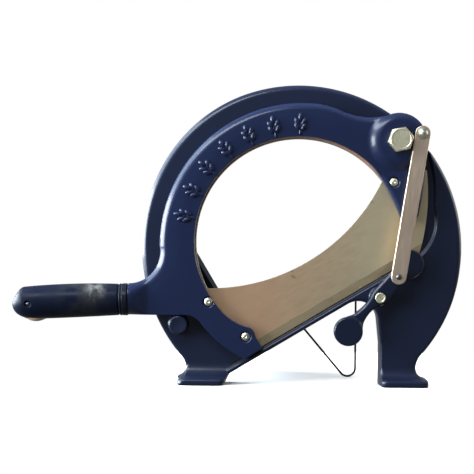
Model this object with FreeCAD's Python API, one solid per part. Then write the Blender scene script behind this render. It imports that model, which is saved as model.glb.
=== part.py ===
import FreeCAD, Part
import math
import os
from FreeCAD import Vector

# Lever bread slicer: a cast ring frame on two feet, a ring shaped lever arm with
# a crescent blade, and a link that swings a slice stop up in front of the opening.
# Millimetres. +X right, +Y back, +Z up. Front elevations are laid out as (x, z)
# pairs, and depths as y measured from the blade bed, the machined front of the frame.
# The origin is the middle of the footprint: DEPTH_SHIFT carries the blade bed forward.

# ---------------------------------------------------------------- driving sizes
DEPTH_SHIFT = -49.25

# frame ring
RING_CENTRE = (58.0, 131.5)
RING_RADIUS = 155.5
RING_FLAT = 5.0             # the left of the ring is this much flatter
RING_FLAT_ANGLE = 183.0
RING_FLAT_SPREAD = 75.0
RING_START = -39.5
RING_END = 222.5
OPENING_CENTRE = (58.6, 136.9)
OPENING_RADIUS = 99.2
LAND_FRONT = -3.0           # raised land round the blade bed
WEB_BACK = 10.0
RIM_BACK = 18.0
RIM_WIDTH = 8.0

# sloping bar, along which the blade shears: distances n across the slope
SLOPE = math.radians(31.0)
BAR_BOTTOM = 12.6
LAND_TOP = 16.8
CUT_LINE = 19.3
SHEAR_EDGE = 26.3

# feet
FOOT_FRONT = -15.0
FOOT_BACK = 20.0
FOOT_THICK = 6.5
FOOT_CORNER = 6.0
LEFT_FOOT = (-57.4, -12.6)          # from left to right
RIGHT_FOOT = (136.4, 182.0)
FOOT_SCREW_Y = -8.6
FOOT_SCREW_DEPTH = 6.0
FOOT_SCREW_RADIUS = 2.6
LEFT_FOOT_SCREW_X = -33.0
RIGHT_FOOT_SCREW_X = 159.0

# lever arm
PIVOT = (150.9, 233.8)
ARM_BACK = -2.3
ARM_FRONT = -11.8
HUB_FRONT = -17.5
HUB_RADIUS = 26.0
ARM_CENTRE = (61.0, 133.2)
ARM_RADIUS = 135.7
ARM_OPENING_CENTRE = (57.2, 137.2)
ARM_OPENING_RADIUS = 98.9
TANG_TOP = 95.8
TANG_BOTTOM = 66.2
TANG_END = -104.0
TANG_SWELL_RADIUS = 13.5    # the tang grows round towards the collar
TANG_SWELL_LENGTH = 20.0

# pivot bolt, M14
SHOULDER_RADIUS = 8.0
RUNNING = 0.05
STEM_RADIUS = 6.9
HEAD_FLATS = 21.0
HEAD_HEIGHT = 8.8
NUT_HEIGHT = 11.0
BOSS_BACK = 20.0

# blade
BLADE_THICK = 2.0
BLADE_BACK = -0.3
BEVEL_WIDTH = 7.9
EDGE_THICK = 0.3
BLADE_ARC_CENTRE = (-28.3, 274.1)
BLADE_ARC_RADIUS = 182.6
BLADE_SCREWS = [(-28.2, 79.1), (7.6, 46.5), (146.6, 194.3)]
BLADE_SCREW_RADIUS = 2.5
BLADE_SCREW_HEAD = 4.4

# grip
GRIP_TIP = (-214.0, 76.0)
GRIP_END = (-112.6, 80.3)
GRIP_Y = (ARM_BACK + ARM_FRONT) / 2
GRIP_BORE = 6.2
TANG_ROD_RADIUS = 6.0
GRIP_PIN = (-196.8, 75.9)
GRIP_PIN_RADIUS = 1.9
COLLAR_LENGTH = 8.2

# link and slice stop
LINK_TOP = (171.8, 240.0)
LINK_BOTTOM = (150.6, 105.0)
LINK_WIDTH = 14.2
LINK_BACK = -17.8
LINK_FRONT = -21.2
LINK_PIN_RADIUS = 3.0
LINK_HEAD_RADIUS = 5.3
STOP_PIN_RADIUS = 2.4
STOP_PIN_CLEARANCE = 1.4     # the pivot where the closed linkage is opened
LEVER_PIVOT = (133.9, 85.0)
LEVER_BACK = -9.5
LEVER_FRONT = -17.3
LEVER_HUB_RADIUS = 8.6
LEVER_END_RADIUS = 7.6
LEVER_PIN_RADIUS = 3.5
LEVER_HEAD_RADIUS = 4.9
STOP_DISC = (104.1, 53.0)
STOP_DISC_RADIUS = 13.6
STOP_DISC_BACK = -14.0
STOP_DISC_FRONT = -20.0

# keeper that holds the blade against the bed
KEEPER_CENTRE = (162.1, 116.0)
KEEPER_RADIUS = 14.5
KEEPER_FRONT = -8.6
KEEPER_SCREW = (167.9, 110.3)
KEEPER_SCREW_RADIUS = 2.5

# closing stop under the tang
BUFFER_CENTRE = (-56.4, 56.8)
BUFFER_RADIUS = 9.2
BUFFER_FRONT = -11.0

# cradle: a folded sheet trough, distances t along the slope
SHEET = 2.5
CRADLE_WALL = 26.0
CRADLE_END = 196.0
CRADLE_TOP = 136.0
CRADLE_BACK = 125.0
CRADLE_FLANGE = 16.0
CRADLE_SCREWS = [(55.0, 18.8), (165.0, 18.8), (15.0, 52.0), (15.0, 112.0)]
CRADLE_BOSS_RADIUS = 6.0
CRADLE_SCREW_RADIUS = 2.5

# wire stand
WIRE_RADIUS = 1.0
WIRE_Y = 60.0
WIRE_HINGE = 20.0
WIRE_LEFT = 80.7
WIRE_RIGHT = 151.5
WIRE_FOOT_BEND = 8.0
WIRE_END_BEND = 3.0
WIRE_PIN_LENGTH = 12.0
EYE_LENGTH = 8.0
EYE_HOLE = 1.08


# ---------------------------------------------------------------- helpers
def at(point, y):
    """The 3D point of an elevation pair (x, z) at depth y."""
    return Vector(point[0], y + DEPTH_SHIFT, point[1])


def slope_point(t, n):
    """The (x, z) pair t along the slope and n across it."""
    x = t * math.cos(SLOPE) - n * math.sin(SLOPE)
    z = t * math.sin(SLOPE) + n * math.cos(SLOPE)
    return (x, z)


def polar(centre, radius, degrees):
    angle = math.radians(degrees)
    return (centre[0] + radius * math.cos(angle), centre[1] + radius * math.sin(angle))


def angle_to(centre, point):
    return math.degrees(math.atan2(point[1] - centre[1], point[0] - centre[0]))


def toward(first, second, share):
    return (first[0] + (second[0] - first[0]) * share, first[1] + (second[1] - first[1]) * share)


def line(first, second, y=0.0):
    return Part.LineSegment(at(first, y), at(second, y)).toShape()


def arc(first, middle, last, y=0.0):
    return Part.Arc(at(first, y), at(middle, y), at(last, y)).toShape()


def spline(points, y=0.0):
    curve = Part.BSplineCurve()
    curve.interpolate([at(point, y) for point in points])
    return curve.toShape()


def slab(edges, front, back):
    """Extrude a closed outline, drawn at depth 0, from depth front to depth back."""
    wire = Part.Wire(Part.__sortEdges__(edges))
    face = Part.Face(wire)
    face.translate(Vector(0, front, 0))
    return face.extrude(Vector(0, back - front, 0))


def polygon(points, front, back):
    """Extrude a straight sided outline."""
    edges = [line(first, second) for first, second in zip(points, points[1:] + points[:1])]
    return slab(edges, front, back)


def rod(centre, radius, front, back):
    """A cylinder whose axis runs front to back."""
    return Part.makeCylinder(radius, back - front, at(centre, front), Vector(0, 1, 0))


def turned(centre, profile):
    """A solid turned about the front to back axis through centre; profile is (r, y) pairs."""
    points = [Vector(centre[0] + r, y + DEPTH_SHIFT, centre[1]) for r, y in profile]
    face = Part.Face(Part.makePolygon(points + points[:1]))
    return face.revolve(at(centre, 0), Vector(0, 1, 0), 360)


def dome(centre, radius, height, base):
    """A round head: a spherical cap that stands height in front of the depth base."""
    sphere_radius = (radius ** 2 + height ** 2) / (2 * height)
    ball = Part.makeSphere(sphere_radius, at(centre, base - height + sphere_radius))
    return ball.common(rod(centre, radius + 1, base - height - 1, base))


def hexagon(centre, flats, front, back, turn=0.0):
    """A hexagonal prism across flats, with both ends chamfered."""
    corner = flats / math.sqrt(3)
    points = [polar(centre, corner, turn + 60 * i) for i in range(6)]
    prism = polygon(points, front, back)
    rim = 0.93 * corner
    slant = 0.5 * (corner + 0.4 - rim)
    profile = [(0, front), (rim, front), (corner + 0.4, front + slant),
               (corner + 0.4, back - slant), (rim, back), (0, back)]
    return prism.common(turned(centre, profile))


def joined(shapes):
    return shapes[0].fuse(shapes[1:]).removeSplitter()


# ---------------------------------------------------------------- frame
def ring_point(degrees, inset=0.0):
    """A point of the frame's outer outline, which flattens towards the left."""
    off = abs(degrees - RING_FLAT_ANGLE)
    flat = 0.0
    if off < RING_FLAT_SPREAD:
        flat = RING_FLAT * math.cos(math.radians(90 * off / RING_FLAT_SPREAD)) ** 2
    return polar(RING_CENTRE, RING_RADIUS - flat - inset, degrees)


def ring_curve(inset=0.0, start=RING_START, end=RING_END, steps=20):
    span = (end - start) / steps
    return [ring_point(start + span * i, inset) for i in range(steps + 1)]


def frame_outline():
    """Ring, right leg, arch, sloping bar and left leg as one closed outline."""
    ring = ring_curve()
    right_neck = (170.4, 17.5)
    right_toe = (RIGHT_FOOT[1], FOOT_THICK)
    left_neck = (-49.0, 16.3)
    left_toe = (LEFT_FOOT[0], FOOT_THICK)
    left_heel = (LEFT_FOOT[1], 0)
    right_heel = (RIGHT_FOOT[0], 0)
    bar_left = (-7.4, (BAR_BOTTOM + math.sin(SLOPE) * -7.4) / math.cos(SLOPE))
    bar_right = (106.0, (BAR_BOTTOM + math.sin(SLOPE) * 106.0) / math.cos(SLOPE))
    arch_end = (133.8, 65.0)
    return [
        spline(ring),
        arc(ring[-1], (-50.6, 22.0), left_neck),
        arc(left_neck, (-51.2, 10.4), left_toe),
        line(left_toe, (LEFT_FOOT[0], 0)),
        line((LEFT_FOOT[0], 0), left_heel),
        line(left_heel, bar_left),
        line(bar_left, bar_right),
        arc(bar_right, (122.5, 79.2), arch_end),
        line(arch_end, (RIGHT_FOOT[0], 40.0)),
        line((RIGHT_FOOT[0], 40.0), right_heel),
        line(right_heel, (RIGHT_FOOT[1], 0)),
        line((RIGHT_FOOT[1], 0), right_toe),
        arc(right_toe, (173.4, 10.5), right_neck),
        arc(right_neck, (172.2, 24.6), ring[0]),
    ]


def opening_cut(front, back, inset=0.0):
    """The round opening, cut off below by the shear edge."""
    disc = rod(OPENING_CENTRE, OPENING_RADIUS + inset, front, back)
    low = SHEAR_EDGE - inset
    corners = [slope_point(-200, low), slope_point(400, low),
               slope_point(400, low - 300), slope_point(-200, low - 300)]
    return disc.cut(polygon(corners, front - 1, back + 1))


def blade_bed():
    """The space in front of the bed that the blade and the arm sweep."""
    corner = slope_point(205.0, LAND_TOP)
    low_left = slope_point(-10.0, LAND_TOP)
    edges = [
        line(low_left, corner),
        arc(corner, (184.8, 140.0), (186.6, 172.0)),
        arc((186.6, 172.0), (186.6, 196.0), (180.0, 225.0)),
        line((180.0, 225.0), (230.0, 225.0)),
        line((230.0, 225.0), (230.0, 320.0)),
        line((230.0, 320.0), (-120.0, 320.0)),
        line((-120.0, 320.0), (-120.0, -5.0)),
        line((-120.0, -5.0), low_left),
    ]
    return slab(edges, LAND_FRONT - 20, 0)


def foot(left, right, face):
    """A flange under a leg, with a concave run from the leg's face, at depth face, down to its toe."""
    cove = face - FOOT_FRONT
    heel = FOOT_THICK + cove
    block = Part.makeBox(right - left, 2.0 - FOOT_FRONT, heel, at((left, 0), FOOT_FRONT))
    corners = [e for e in block.Edges
               if e.BoundBox.ZLength > heel - 0.01 and e.BoundBox.YMax < DEPTH_SHIFT - 1]
    block = block.makeFillet(FOOT_CORNER, corners)
    hollow = Part.makeCylinder(cove, right - left + 2, at((left - 1, heel), FOOT_FRONT), Vector(1, 0, 0))
    toe = block.cut(hollow).common(slab(frame_outline(), FOOT_FRONT - 1, 3.0))
    back = Part.makeBox(right - left, FOOT_BACK, FOOT_THICK, at((left, 0), 0))
    return [toe, back]


def rim_rib():
    """The deep outer rim and the rim round the opening, behind the web."""
    outer = ring_curve()
    inner = ring_curve(RIM_WIDTH)
    band = [spline(outer), spline(inner), line(outer[0], inner[0]), line(outer[-1], inner[-1])]
    outer_rim = slab(band, 0, RIM_BACK)
    inner_rim = opening_cut(0, RIM_BACK, RIM_WIDTH).cut(opening_cut(-1, RIM_BACK + 1))
    return [outer_rim, inner_rim]


def cradle_bosses():
    return [rod(slope_point(t, n), CRADLE_BOSS_RADIUS, 0, RIM_BACK) for t, n in CRADLE_SCREWS]


def make_frame():
    body = slab(frame_outline(), LAND_FRONT, WEB_BACK)
    right_leg = polygon([(136.4, 0), (171.0, 0), (171.0, 60.0), (136.4, 50.0)], 0, RIM_BACK)
    left_leg = polygon([(-45.0, 0), (-13.0, 0), (-7.0, 12.0), (-30.0, 40.0), (-45.0, 20.0)],
                       0, RIM_BACK)
    parts = [body, right_leg, left_leg, rod(PIVOT, 21.0, 0, BOSS_BACK)]
    parts += rim_rib() + cradle_bosses()
    body = joined(parts)
    body = body.cut([opening_cut(LAND_FRONT - 1, RIM_BACK + 1), blade_bed()])
    extras = foot(*LEFT_FOOT, 0.0) + foot(*RIGHT_FOOT, LAND_FRONT)
    extras += [rod(BUFFER_CENTRE, BUFFER_RADIUS, BUFFER_FRONT, 1.0)]
    extras += [rod(LEVER_PIVOT, 8.2, LEVER_BACK + 1.2, 1.0)]
    body = joined([body] + extras)
    holes = [rod(PIVOT, STEM_RADIUS + 0.1, LAND_FRONT - 1, BOSS_BACK + 1),
             rod(LEVER_PIVOT, LEVER_PIN_RADIUS, LEVER_BACK - 1, RIM_BACK + 1),
             rod(KEEPER_SCREW, KEEPER_SCREW_RADIUS, LAND_FRONT - 1, WEB_BACK + 1)]
    for t, n in CRADLE_SCREWS:
        holes.append(rod(slope_point(t, n), CRADLE_SCREW_RADIUS, RIM_BACK - 13, RIM_BACK + 1))
    for x in (LEFT_FOOT_SCREW_X, RIGHT_FOOT_SCREW_X):
        low = at((x, -1), FOOT_SCREW_Y)
        holes.append(Part.makeCylinder(FOOT_SCREW_RADIUS, FOOT_SCREW_DEPTH + 1, low))
    return body.cut(holes)


# ---------------------------------------------------------------- lever arm
def arm_outline():
    """The outer outline of the arm, from the hub over the ring to the tang and the end tab."""
    ring_top = polar(ARM_CENTRE, ARM_RADIUS, 84)
    ring_left = polar(ARM_CENTRE, ARM_RADIUS, 181)
    hub_left = polar(PIVOT, HUB_RADIUS, 118)
    hub_right = polar(PIVOT, HUB_RADIUS, -8)
    lobe_right = (171.0, 166.0)
    lobe_left = (152.6, 164.0)
    shoulder = polar(ARM_OPENING_CENTRE, ARM_OPENING_RADIUS, 38.5)
    elbow = polar(ARM_OPENING_CENTRE, ARM_OPENING_RADIUS, 222)
    low = polar(ARM_CENTRE, 121.5, 219)
    low_end = polar(ARM_CENTRE, 120.5, 243.5)
    tab = slope_point(38.6, CUT_LINE - 1.0)
    neck_end = (-104.0, TANG_TOP)
    return [
        arc(hub_left, polar(PIVOT, HUB_RADIUS, 60), hub_right),
        arc(hub_right, (175.6, 197.0), lobe_right),
        arc(lobe_right, (161.6, 157.0), lobe_left),
        arc(lobe_left, (145.0, 180.6), shoulder),
        arc(shoulder, polar(ARM_OPENING_CENTRE, ARM_OPENING_RADIUS, 140), elbow),
        arc(elbow, (-3.8, 60.8), (9.4, 55.4)),
        arc((9.4, 55.4), (14.2, 52.8), (16.4, 47.6)),
        line((16.4, 47.6), tab),
        line(tab, low_end),
        arc(low_end, polar(ARM_CENTRE, 121.2, 231), low),
        arc(low, (-41.4, 64.2), (-48.0, TANG_BOTTOM)),
        line((-48.0, TANG_BOTTOM), (TANG_END, TANG_BOTTOM)),
        line((TANG_END, TANG_BOTTOM), neck_end),
        arc(neck_end, (-82.4, 105.2), ring_left),
        arc(ring_left, polar(ARM_CENTRE, ARM_RADIUS, 135), ring_top),
        arc(ring_top, (86.6, 265.6), (99.0, 260.9)),
        arc((99.0, 260.9), (120.6, 256.0), hub_left),
    ]


def make_arm():
    body = slab(arm_outline(), ARM_FRONT, ARM_BACK)
    hub_profile = [(0, ARM_BACK), (HUB_RADIUS, ARM_BACK), (HUB_RADIUS, -12.6), (25.2, -14.4),
                   (23.4, -16.0), (20.8, -17.1), (17.6, HUB_FRONT), (0, HUB_FRONT)]
    hub = turned(PIVOT, hub_profile)
    axis = Vector(GRIP_TIP[0] - GRIP_END[0], 0, GRIP_TIP[1] - GRIP_END[1])
    root = at(toward(GRIP_END, GRIP_TIP, -0.12), GRIP_Y)
    tang_rod = Part.makeCylinder(TANG_ROD_RADIUS, 104.0, root, axis)
    collar = (COLLAR_LENGTH + 0.1) / math.dist(GRIP_TIP, GRIP_END)
    tang_swell = Part.makeCone(TANG_SWELL_RADIUS, 4.6, TANG_SWELL_LENGTH,
                               at(toward(GRIP_END, GRIP_TIP, -collar), GRIP_Y), axis * -1)
    body = joined([body, hub, tang_rod, tang_swell])
    holes = [rod(PIVOT, SHOULDER_RADIUS + RUNNING, HUB_FRONT - 1, ARM_BACK + 1),
             rod(LINK_TOP, LINK_PIN_RADIUS, HUB_FRONT - 1, ARM_BACK + 1),
             rod(GRIP_PIN, GRIP_PIN_RADIUS, GRIP_Y - 20, GRIP_Y + 20)]
    for screw in BLADE_SCREWS:
        holes.append(rod(screw, BLADE_SCREW_RADIUS, ARM_FRONT - 1, ARM_BACK + 1))
        holes.append(rod(screw, BLADE_SCREW_HEAD + 0.5, ARM_FRONT - 1, ARM_FRONT + 1.6))
    return body.cut(holes)


def make_blade():
    """A crescent of 2 mm steel: concave back, straight bevelled cutting edge."""
    arc_left = polar(BLADE_ARC_CENTRE, BLADE_ARC_RADIUS, 269.0)
    arc_right = polar(BLADE_ARC_CENTRE, BLADE_ARC_RADIUS, 334.5)
    tip_left = slope_point(22.0, CUT_LINE)
    tip_right = slope_point(213.0, CUT_LINE)
    edges = [
        arc(arc_left, polar(BLADE_ARC_CENTRE, BLADE_ARC_RADIUS, 302.0), arc_right),
        line(arc_right, (142.0, 205.6)),
        line((142.0, 205.6), (179.0, 206.6)),
        arc((179.0, 206.6), (179.4, 163.0), tip_right),
        line(tip_right, tip_left),
        arc(tip_left, (-24.4, 62.4), (-38.0, 84.0)),
        line((-38.0, 84.0), arc_left),
    ]
    blade = slab(edges, BLADE_BACK - BLADE_THICK, BLADE_BACK)
    start = slope_point(-60.0, CUT_LINE)
    section = [(0.0, BLADE_BACK - EDGE_THICK), (BEVEL_WIDTH, BLADE_BACK - BLADE_THICK),
               (BEVEL_WIDTH, BLADE_BACK - BLADE_THICK - 2), (-2.0, BLADE_BACK - BLADE_THICK - 2),
               (-2.0, BLADE_BACK - EDGE_THICK)]
    corners = []
    for across, y in section:
        corners.append(at((start[0] - across * math.sin(SLOPE),
                           start[1] + across * math.cos(SLOPE)), y))
    wedge = Part.Face(Part.makePolygon(corners + corners[:1]))
    wedge = wedge.extrude(Vector(400 * math.cos(SLOPE), 0, 400 * math.sin(SLOPE)))
    holes = [rod(screw, BLADE_SCREW_RADIUS, -5, 1) for screw in BLADE_SCREWS]
    return blade.cut([wedge] + holes)


def make_blade_screws():
    """Round headed screws from the front, their ends riveted flush with the blade."""
    screws = []
    for screw in BLADE_SCREWS:
        base = ARM_FRONT + 1.6
        head = dome(screw, BLADE_SCREW_HEAD, 2.2, base)
        shank = rod(screw, BLADE_SCREW_RADIUS, base, BLADE_BACK)
        screws.append(head.fuse(shank).removeSplitter())
    return Part.Compound(screws)


def grip_solid(profile):
    """Turn a (distance from the tip, radius) profile about the grip's sloping axis."""
    length = math.dist(GRIP_TIP, GRIP_END)
    along = Vector(GRIP_END[0] - GRIP_TIP[0], 0, GRIP_END[1] - GRIP_TIP[1]).normalize()
    up = Vector(-along.z, 0, along.x)
    tip = at(GRIP_TIP, GRIP_Y)
    points = [tip + along * (share * length) + up * radius for share, radius in profile]
    curve = Part.BSplineCurve()
    curve.interpolate(points)
    ends = [tip + along * (profile[-1][0] * length), tip + along * (profile[0][0] * length)]
    edges = [curve.toShape(), Part.LineSegment(points[-1], ends[0]).toShape(),
             Part.LineSegment(ends[0], ends[1]).toShape()]
    if profile[0][1] > 0:
        edges.append(Part.LineSegment(ends[1], points[0]).toShape())
    face = Part.Face(Part.Wire(Part.__sortEdges__(edges)))
    return face.revolve(tip, along, 360)


def make_grip():
    profile = [(0.0, 0.0), (0.006, 4.6), (0.03, 9.2), (0.09, 13.2), (0.2, 15.4),
               (0.36, 16.1), (0.6, 16.0), (0.85, 15.3), (1.0, 14.9)]
    body = grip_solid(profile)
    axis = Vector(GRIP_TIP[0] - GRIP_END[0], 0, GRIP_TIP[1] - GRIP_END[1])
    bore = Part.makeCylinder(GRIP_BORE, 98.0, at(toward(GRIP_END, GRIP_TIP, -0.05), GRIP_Y), axis)
    pin = rod(GRIP_PIN, GRIP_PIN_RADIUS, GRIP_Y - 20, GRIP_Y + 20)
    return body.cut([bore, pin])


def make_ferrule():
    """The collar between the grip and the tang."""
    length = math.dist(GRIP_TIP, GRIP_END)
    profile = [(1.0 + 0.2 / length, 14.3), (1.0 + 1.6 / length, 15.1),
               (1.0 + 4.2 / length, 15.2), (1.0 + COLLAR_LENGTH / length, 14.8)]
    body = grip_solid(profile)
    axis = Vector(GRIP_TIP[0] - GRIP_END[0], 0, GRIP_TIP[1] - GRIP_END[1])
    bore = Part.makeCylinder(TANG_ROD_RADIUS, 40.0, at(toward(GRIP_END, GRIP_TIP, -0.2), GRIP_Y), axis)
    tang = polygon([(TANG_END, 60), (TANG_END, 100), (-90, 100), (-90, 60)], ARM_FRONT, ARM_BACK)
    return body.cut([bore, tang])


def make_grip_pin():
    reach = 12.6
    return rod(GRIP_PIN, GRIP_PIN_RADIUS, GRIP_Y - reach, GRIP_Y + reach)


# ---------------------------------------------------------------- pivot bolt
def make_pivot_bolt():
    """A hexagon shoulder bolt: the arm turns on its shoulder."""
    head = hexagon(PIVOT, HEAD_FLATS, HUB_FRONT - 0.2 - HEAD_HEIGHT, HUB_FRONT - 0.2, 12.0)
    shoulder = rod(PIVOT, SHOULDER_RADIUS, HUB_FRONT - 0.2, 0)
    stem = rod(PIVOT, STEM_RADIUS, 0, BOSS_BACK + 2.4 + NUT_HEIGHT + 2.5)
    return joined([head, shoulder, stem])


def make_pivot_washer():
    """The thrust washer between the arm and the frame."""
    outer = rod(PIVOT, 17.0, ARM_BACK + 0.1, 0)
    return outer.cut(rod(PIVOT, SHOULDER_RADIUS + 0.1, ARM_BACK - 1, 1))


def make_spring_washer():
    """A split spring washer under the nut."""
    back = BOSS_BACK + 2.4
    ring = rod(PIVOT, 11.6, BOSS_BACK, back).cut(rod(PIVOT, STEM_RADIUS + 0.2, BOSS_BACK - 1, back + 1))
    split = Part.makeBox(1.2, 6.0, 8.0, at((PIVOT[0] - 0.6, PIVOT[1] + 5.0), BOSS_BACK - 1))
    return ring.cut(split)


def make_pivot_nut():
    front = BOSS_BACK + 2.4
    nut = hexagon(PIVOT, HEAD_FLATS, front, front + NUT_HEIGHT)
    return nut.cut(rod(PIVOT, STEM_RADIUS, front - 1, front + NUT_HEIGHT + 1))


# ---------------------------------------------------------------- link and slice stop
def make_link_bar():
    """A flat bar with round ends."""
    along = math.degrees(math.atan2(LINK_TOP[1] - LINK_BOTTOM[1], LINK_TOP[0] - LINK_BOTTOM[0]))
    half = LINK_WIDTH / 2
    corners = [polar(LINK_TOP, half, along - 90), polar(LINK_TOP, half, along + 90),
               polar(LINK_BOTTOM, half, along + 90), polar(LINK_BOTTOM, half, along - 90)]
    edges = [
        arc(corners[0], polar(LINK_TOP, half, along), corners[1]),
        line(corners[1], corners[2]),
        arc(corners[2], polar(LINK_BOTTOM, half, along + 180), corners[3]),
        line(corners[3], corners[0]),
    ]
    bar = slab(edges, LINK_FRONT, LINK_BACK)
    top_hole = rod(LINK_TOP, LINK_PIN_RADIUS + RUNNING, LINK_FRONT - 1, LINK_BACK + 1)
    bottom_hole = rod(LINK_BOTTOM, STOP_PIN_RADIUS, LINK_FRONT - 1, LINK_BACK + 1)
    return bar.cut([top_hole, bottom_hole])


def make_link_top_pin():
    shank = rod(LINK_TOP, LINK_PIN_RADIUS, LINK_FRONT - 0.2, ARM_BACK - 1)
    return joined([dome(LINK_TOP, LINK_HEAD_RADIUS, 3.2, LINK_FRONT - 0.2), shank])


def make_link_bottom_pin():
    shank = rod(LINK_BOTTOM, STOP_PIN_RADIUS, LINK_FRONT - 0.1, -10.2)
    return joined([dome(LINK_BOTTOM, 2.9, 1.8, LINK_FRONT), shank])


def lever_outline():
    """A spoon: round end for the link, round hub, narrow neck, round stop."""
    across = angle_to(LEVER_PIVOT, LINK_BOTTOM)
    end_a = polar(LINK_BOTTOM, LEVER_END_RADIUS, across - 90)
    end_b = polar(LINK_BOTTOM, LEVER_END_RADIUS, across + 90)
    hub_a = polar(LEVER_PIVOT, LEVER_HUB_RADIUS, across - 90)
    hub_b = polar(LEVER_PIVOT, LEVER_HUB_RADIUS, across + 90)
    disc_a = polar(STOP_DISC, STOP_DISC_RADIUS, -12)
    disc_b = polar(STOP_DISC, STOP_DISC_RADIUS, 104)
    return [
        arc(end_a, polar(LINK_BOTTOM, LEVER_END_RADIUS, across), end_b),
        line(end_b, hub_b),
        arc(hub_b, (116.6, 75.0), disc_b),
        arc(disc_b, polar(STOP_DISC, STOP_DISC_RADIUS, 226), disc_a),
        arc(disc_a, (125.0, 71.0), hub_a),
        line(hub_a, end_a),
    ]


def make_stop_lever():
    plate = slab(lever_outline(), STOP_DISC_FRONT, LEVER_BACK)
    handle = rod(STOP_DISC, STOP_DISC_RADIUS + 5.5, STOP_DISC_BACK, 0)
    front = polygon([slope_point(130, -40), slope_point(300, -40), slope_point(300, 60),
                     slope_point(130, 60)], STOP_DISC_FRONT - 1, LEVER_FRONT)
    body = plate.cut([handle, front])
    relief = rod(LINK_BOTTOM, LEVER_END_RADIUS + 3.0, -11.0, 0)
    holes = [rod(LEVER_PIVOT, LEVER_PIN_RADIUS + RUNNING, -30, 0),
             rod(LINK_BOTTOM, STOP_PIN_RADIUS + STOP_PIN_CLEARANCE, -30, 0)]
    return body.cut([relief] + holes)


def make_lever_rivet():
    head = dome(LEVER_PIVOT, LEVER_HEAD_RADIUS, 2.0, LEVER_FRONT - 0.2)
    shank = rod(LEVER_PIVOT, LEVER_PIN_RADIUS, LEVER_FRONT - 0.2, WEB_BACK)
    tail = rod(LEVER_PIVOT, 5.4, WEB_BACK, WEB_BACK + 1.6)
    return joined([head, shank, tail])


def make_lever_washer():
    ring = rod(LEVER_PIVOT, 8.0, LEVER_BACK + 0.1, LEVER_BACK + 1.2)
    return ring.cut(rod(LEVER_PIVOT, LEVER_PIN_RADIUS + 0.1, -20, 0))


def make_keeper():
    """A round plate that overlaps the end of the blade and holds it to the bed."""
    edge = KEEPER_RADIUS
    profile = [(0, LAND_FRONT), (edge, LAND_FRONT), (edge, KEEPER_FRONT + 1.5),
               (edge - 1.5, KEEPER_FRONT), (0, KEEPER_FRONT)]
    disc = turned(KEEPER_CENTRE, profile)
    return disc.cut(rod(KEEPER_SCREW, KEEPER_SCREW_RADIUS, LAND_FRONT - 4, LAND_FRONT + 1))


def make_keeper_screw():
    """The screw comes from behind and ends inside the keeper."""
    shank = rod(KEEPER_SCREW, KEEPER_SCREW_RADIUS, LAND_FRONT - 4, WEB_BACK)
    head = rod(KEEPER_SCREW, 4.6, WEB_BACK, WEB_BACK + 3.2)
    slot = Part.makeBox(12, 1.2, 1.2, at((KEEPER_SCREW[0] - 6, KEEPER_SCREW[1] - 0.6), WEB_BACK + 2.2))
    return joined([shank, head]).cut(slot)


# ---------------------------------------------------------------- cradle and wire stand
def slope_slab(t_low, t_high, n_low, n_high, front, back):
    corners = [slope_point(t_low, n_low), slope_point(t_high, n_low),
               slope_point(t_high, n_high), slope_point(t_low, n_high)]
    return polygon(corners, front, back)


def make_cradle():
    """A sheet folded to a floor and a wall, with flanges that lie on the frame's back."""
    top = SHEAR_EDGE
    floor = slope_slab(CRADLE_WALL - SHEET, CRADLE_END, top - SHEET, top, RIM_BACK, CRADLE_BACK)
    wall = slope_slab(CRADLE_WALL - SHEET, CRADLE_WALL, top - SHEET, CRADLE_TOP, RIM_BACK, CRADLE_BACK)
    floor_flange = slope_slab(CRADLE_WALL - SHEET, CRADLE_END - 14, BAR_BOTTOM + 0.6, top,
                              RIM_BACK, RIM_BACK + SHEET)
    wall_flange = slope_slab(CRADLE_WALL - CRADLE_FLANGE - 4, CRADLE_WALL, top - SHEET,
                             CRADLE_TOP - 14, RIM_BACK, RIM_BACK + SHEET)
    hem = slope_slab(CRADLE_WALL - SHEET, CRADLE_END, top - 9.0, top, CRADLE_BACK - SHEET, CRADLE_BACK)
    body = joined([floor, wall, floor_flange, wall_flange, hem])
    holes = [rod(slope_point(t, n), CRADLE_SCREW_RADIUS + 0.3, RIM_BACK - 1, RIM_BACK + SHEET + 1)
             for t, n in CRADLE_SCREWS]
    return body.cut(holes)


def make_cradle_screws():
    screws = []
    seat = RIM_BACK + SHEET
    for t, n in CRADLE_SCREWS:
        centre = slope_point(t, n)
        shank = rod(centre, CRADLE_SCREW_RADIUS, seat - 14, seat)
        profile = [(0, seat), (4.6, seat), (4.4, seat + 1.6), (3.2, seat + 2.8), (0, seat + 3.1)]
        slot = Part.makeBox(12, 1.5, 1.1, at((centre[0] - 6, centre[1] - 0.55), seat + 1.9))
        screws.append(joined([shank, turned(centre, profile)]).cut(slot))
    return Part.Compound(screws)


def wire_route():
    """Route of the stand: pin, left leg, foot, right leg, pin, as (x, z) pairs."""
    left = slope_point(WIRE_LEFT, WIRE_HINGE)
    right = slope_point(WIRE_RIGHT, WIRE_HINGE)
    left_end = slope_point(WIRE_LEFT - WIRE_PIN_LENGTH, WIRE_HINGE)
    right_end = slope_point(WIRE_RIGHT + WIRE_PIN_LENGTH, WIRE_HINGE)
    foot_corner = (119.6, -12.6)
    return [left_end, left, foot_corner, right, right_end]


def bend(before, corner, after, radius):
    """The tangent points and the middle of the arc that rounds a corner of a route."""
    a = Vector(before[0] - corner[0], before[1] - corner[1], 0).normalize()
    b = Vector(after[0] - corner[0], after[1] - corner[1], 0).normalize()
    half = a.getAngle(b) / 2
    back = radius / math.tan(half)
    bisector = (a + b).normalize()
    reach = radius / math.sin(half) - radius
    first = (corner[0] + a.x * back, corner[1] + a.y * back)
    last = (corner[0] + b.x * back, corner[1] + b.y * back)
    middle = (corner[0] + bisector.x * reach, corner[1] + bisector.y * reach)
    return first, middle, last


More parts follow.
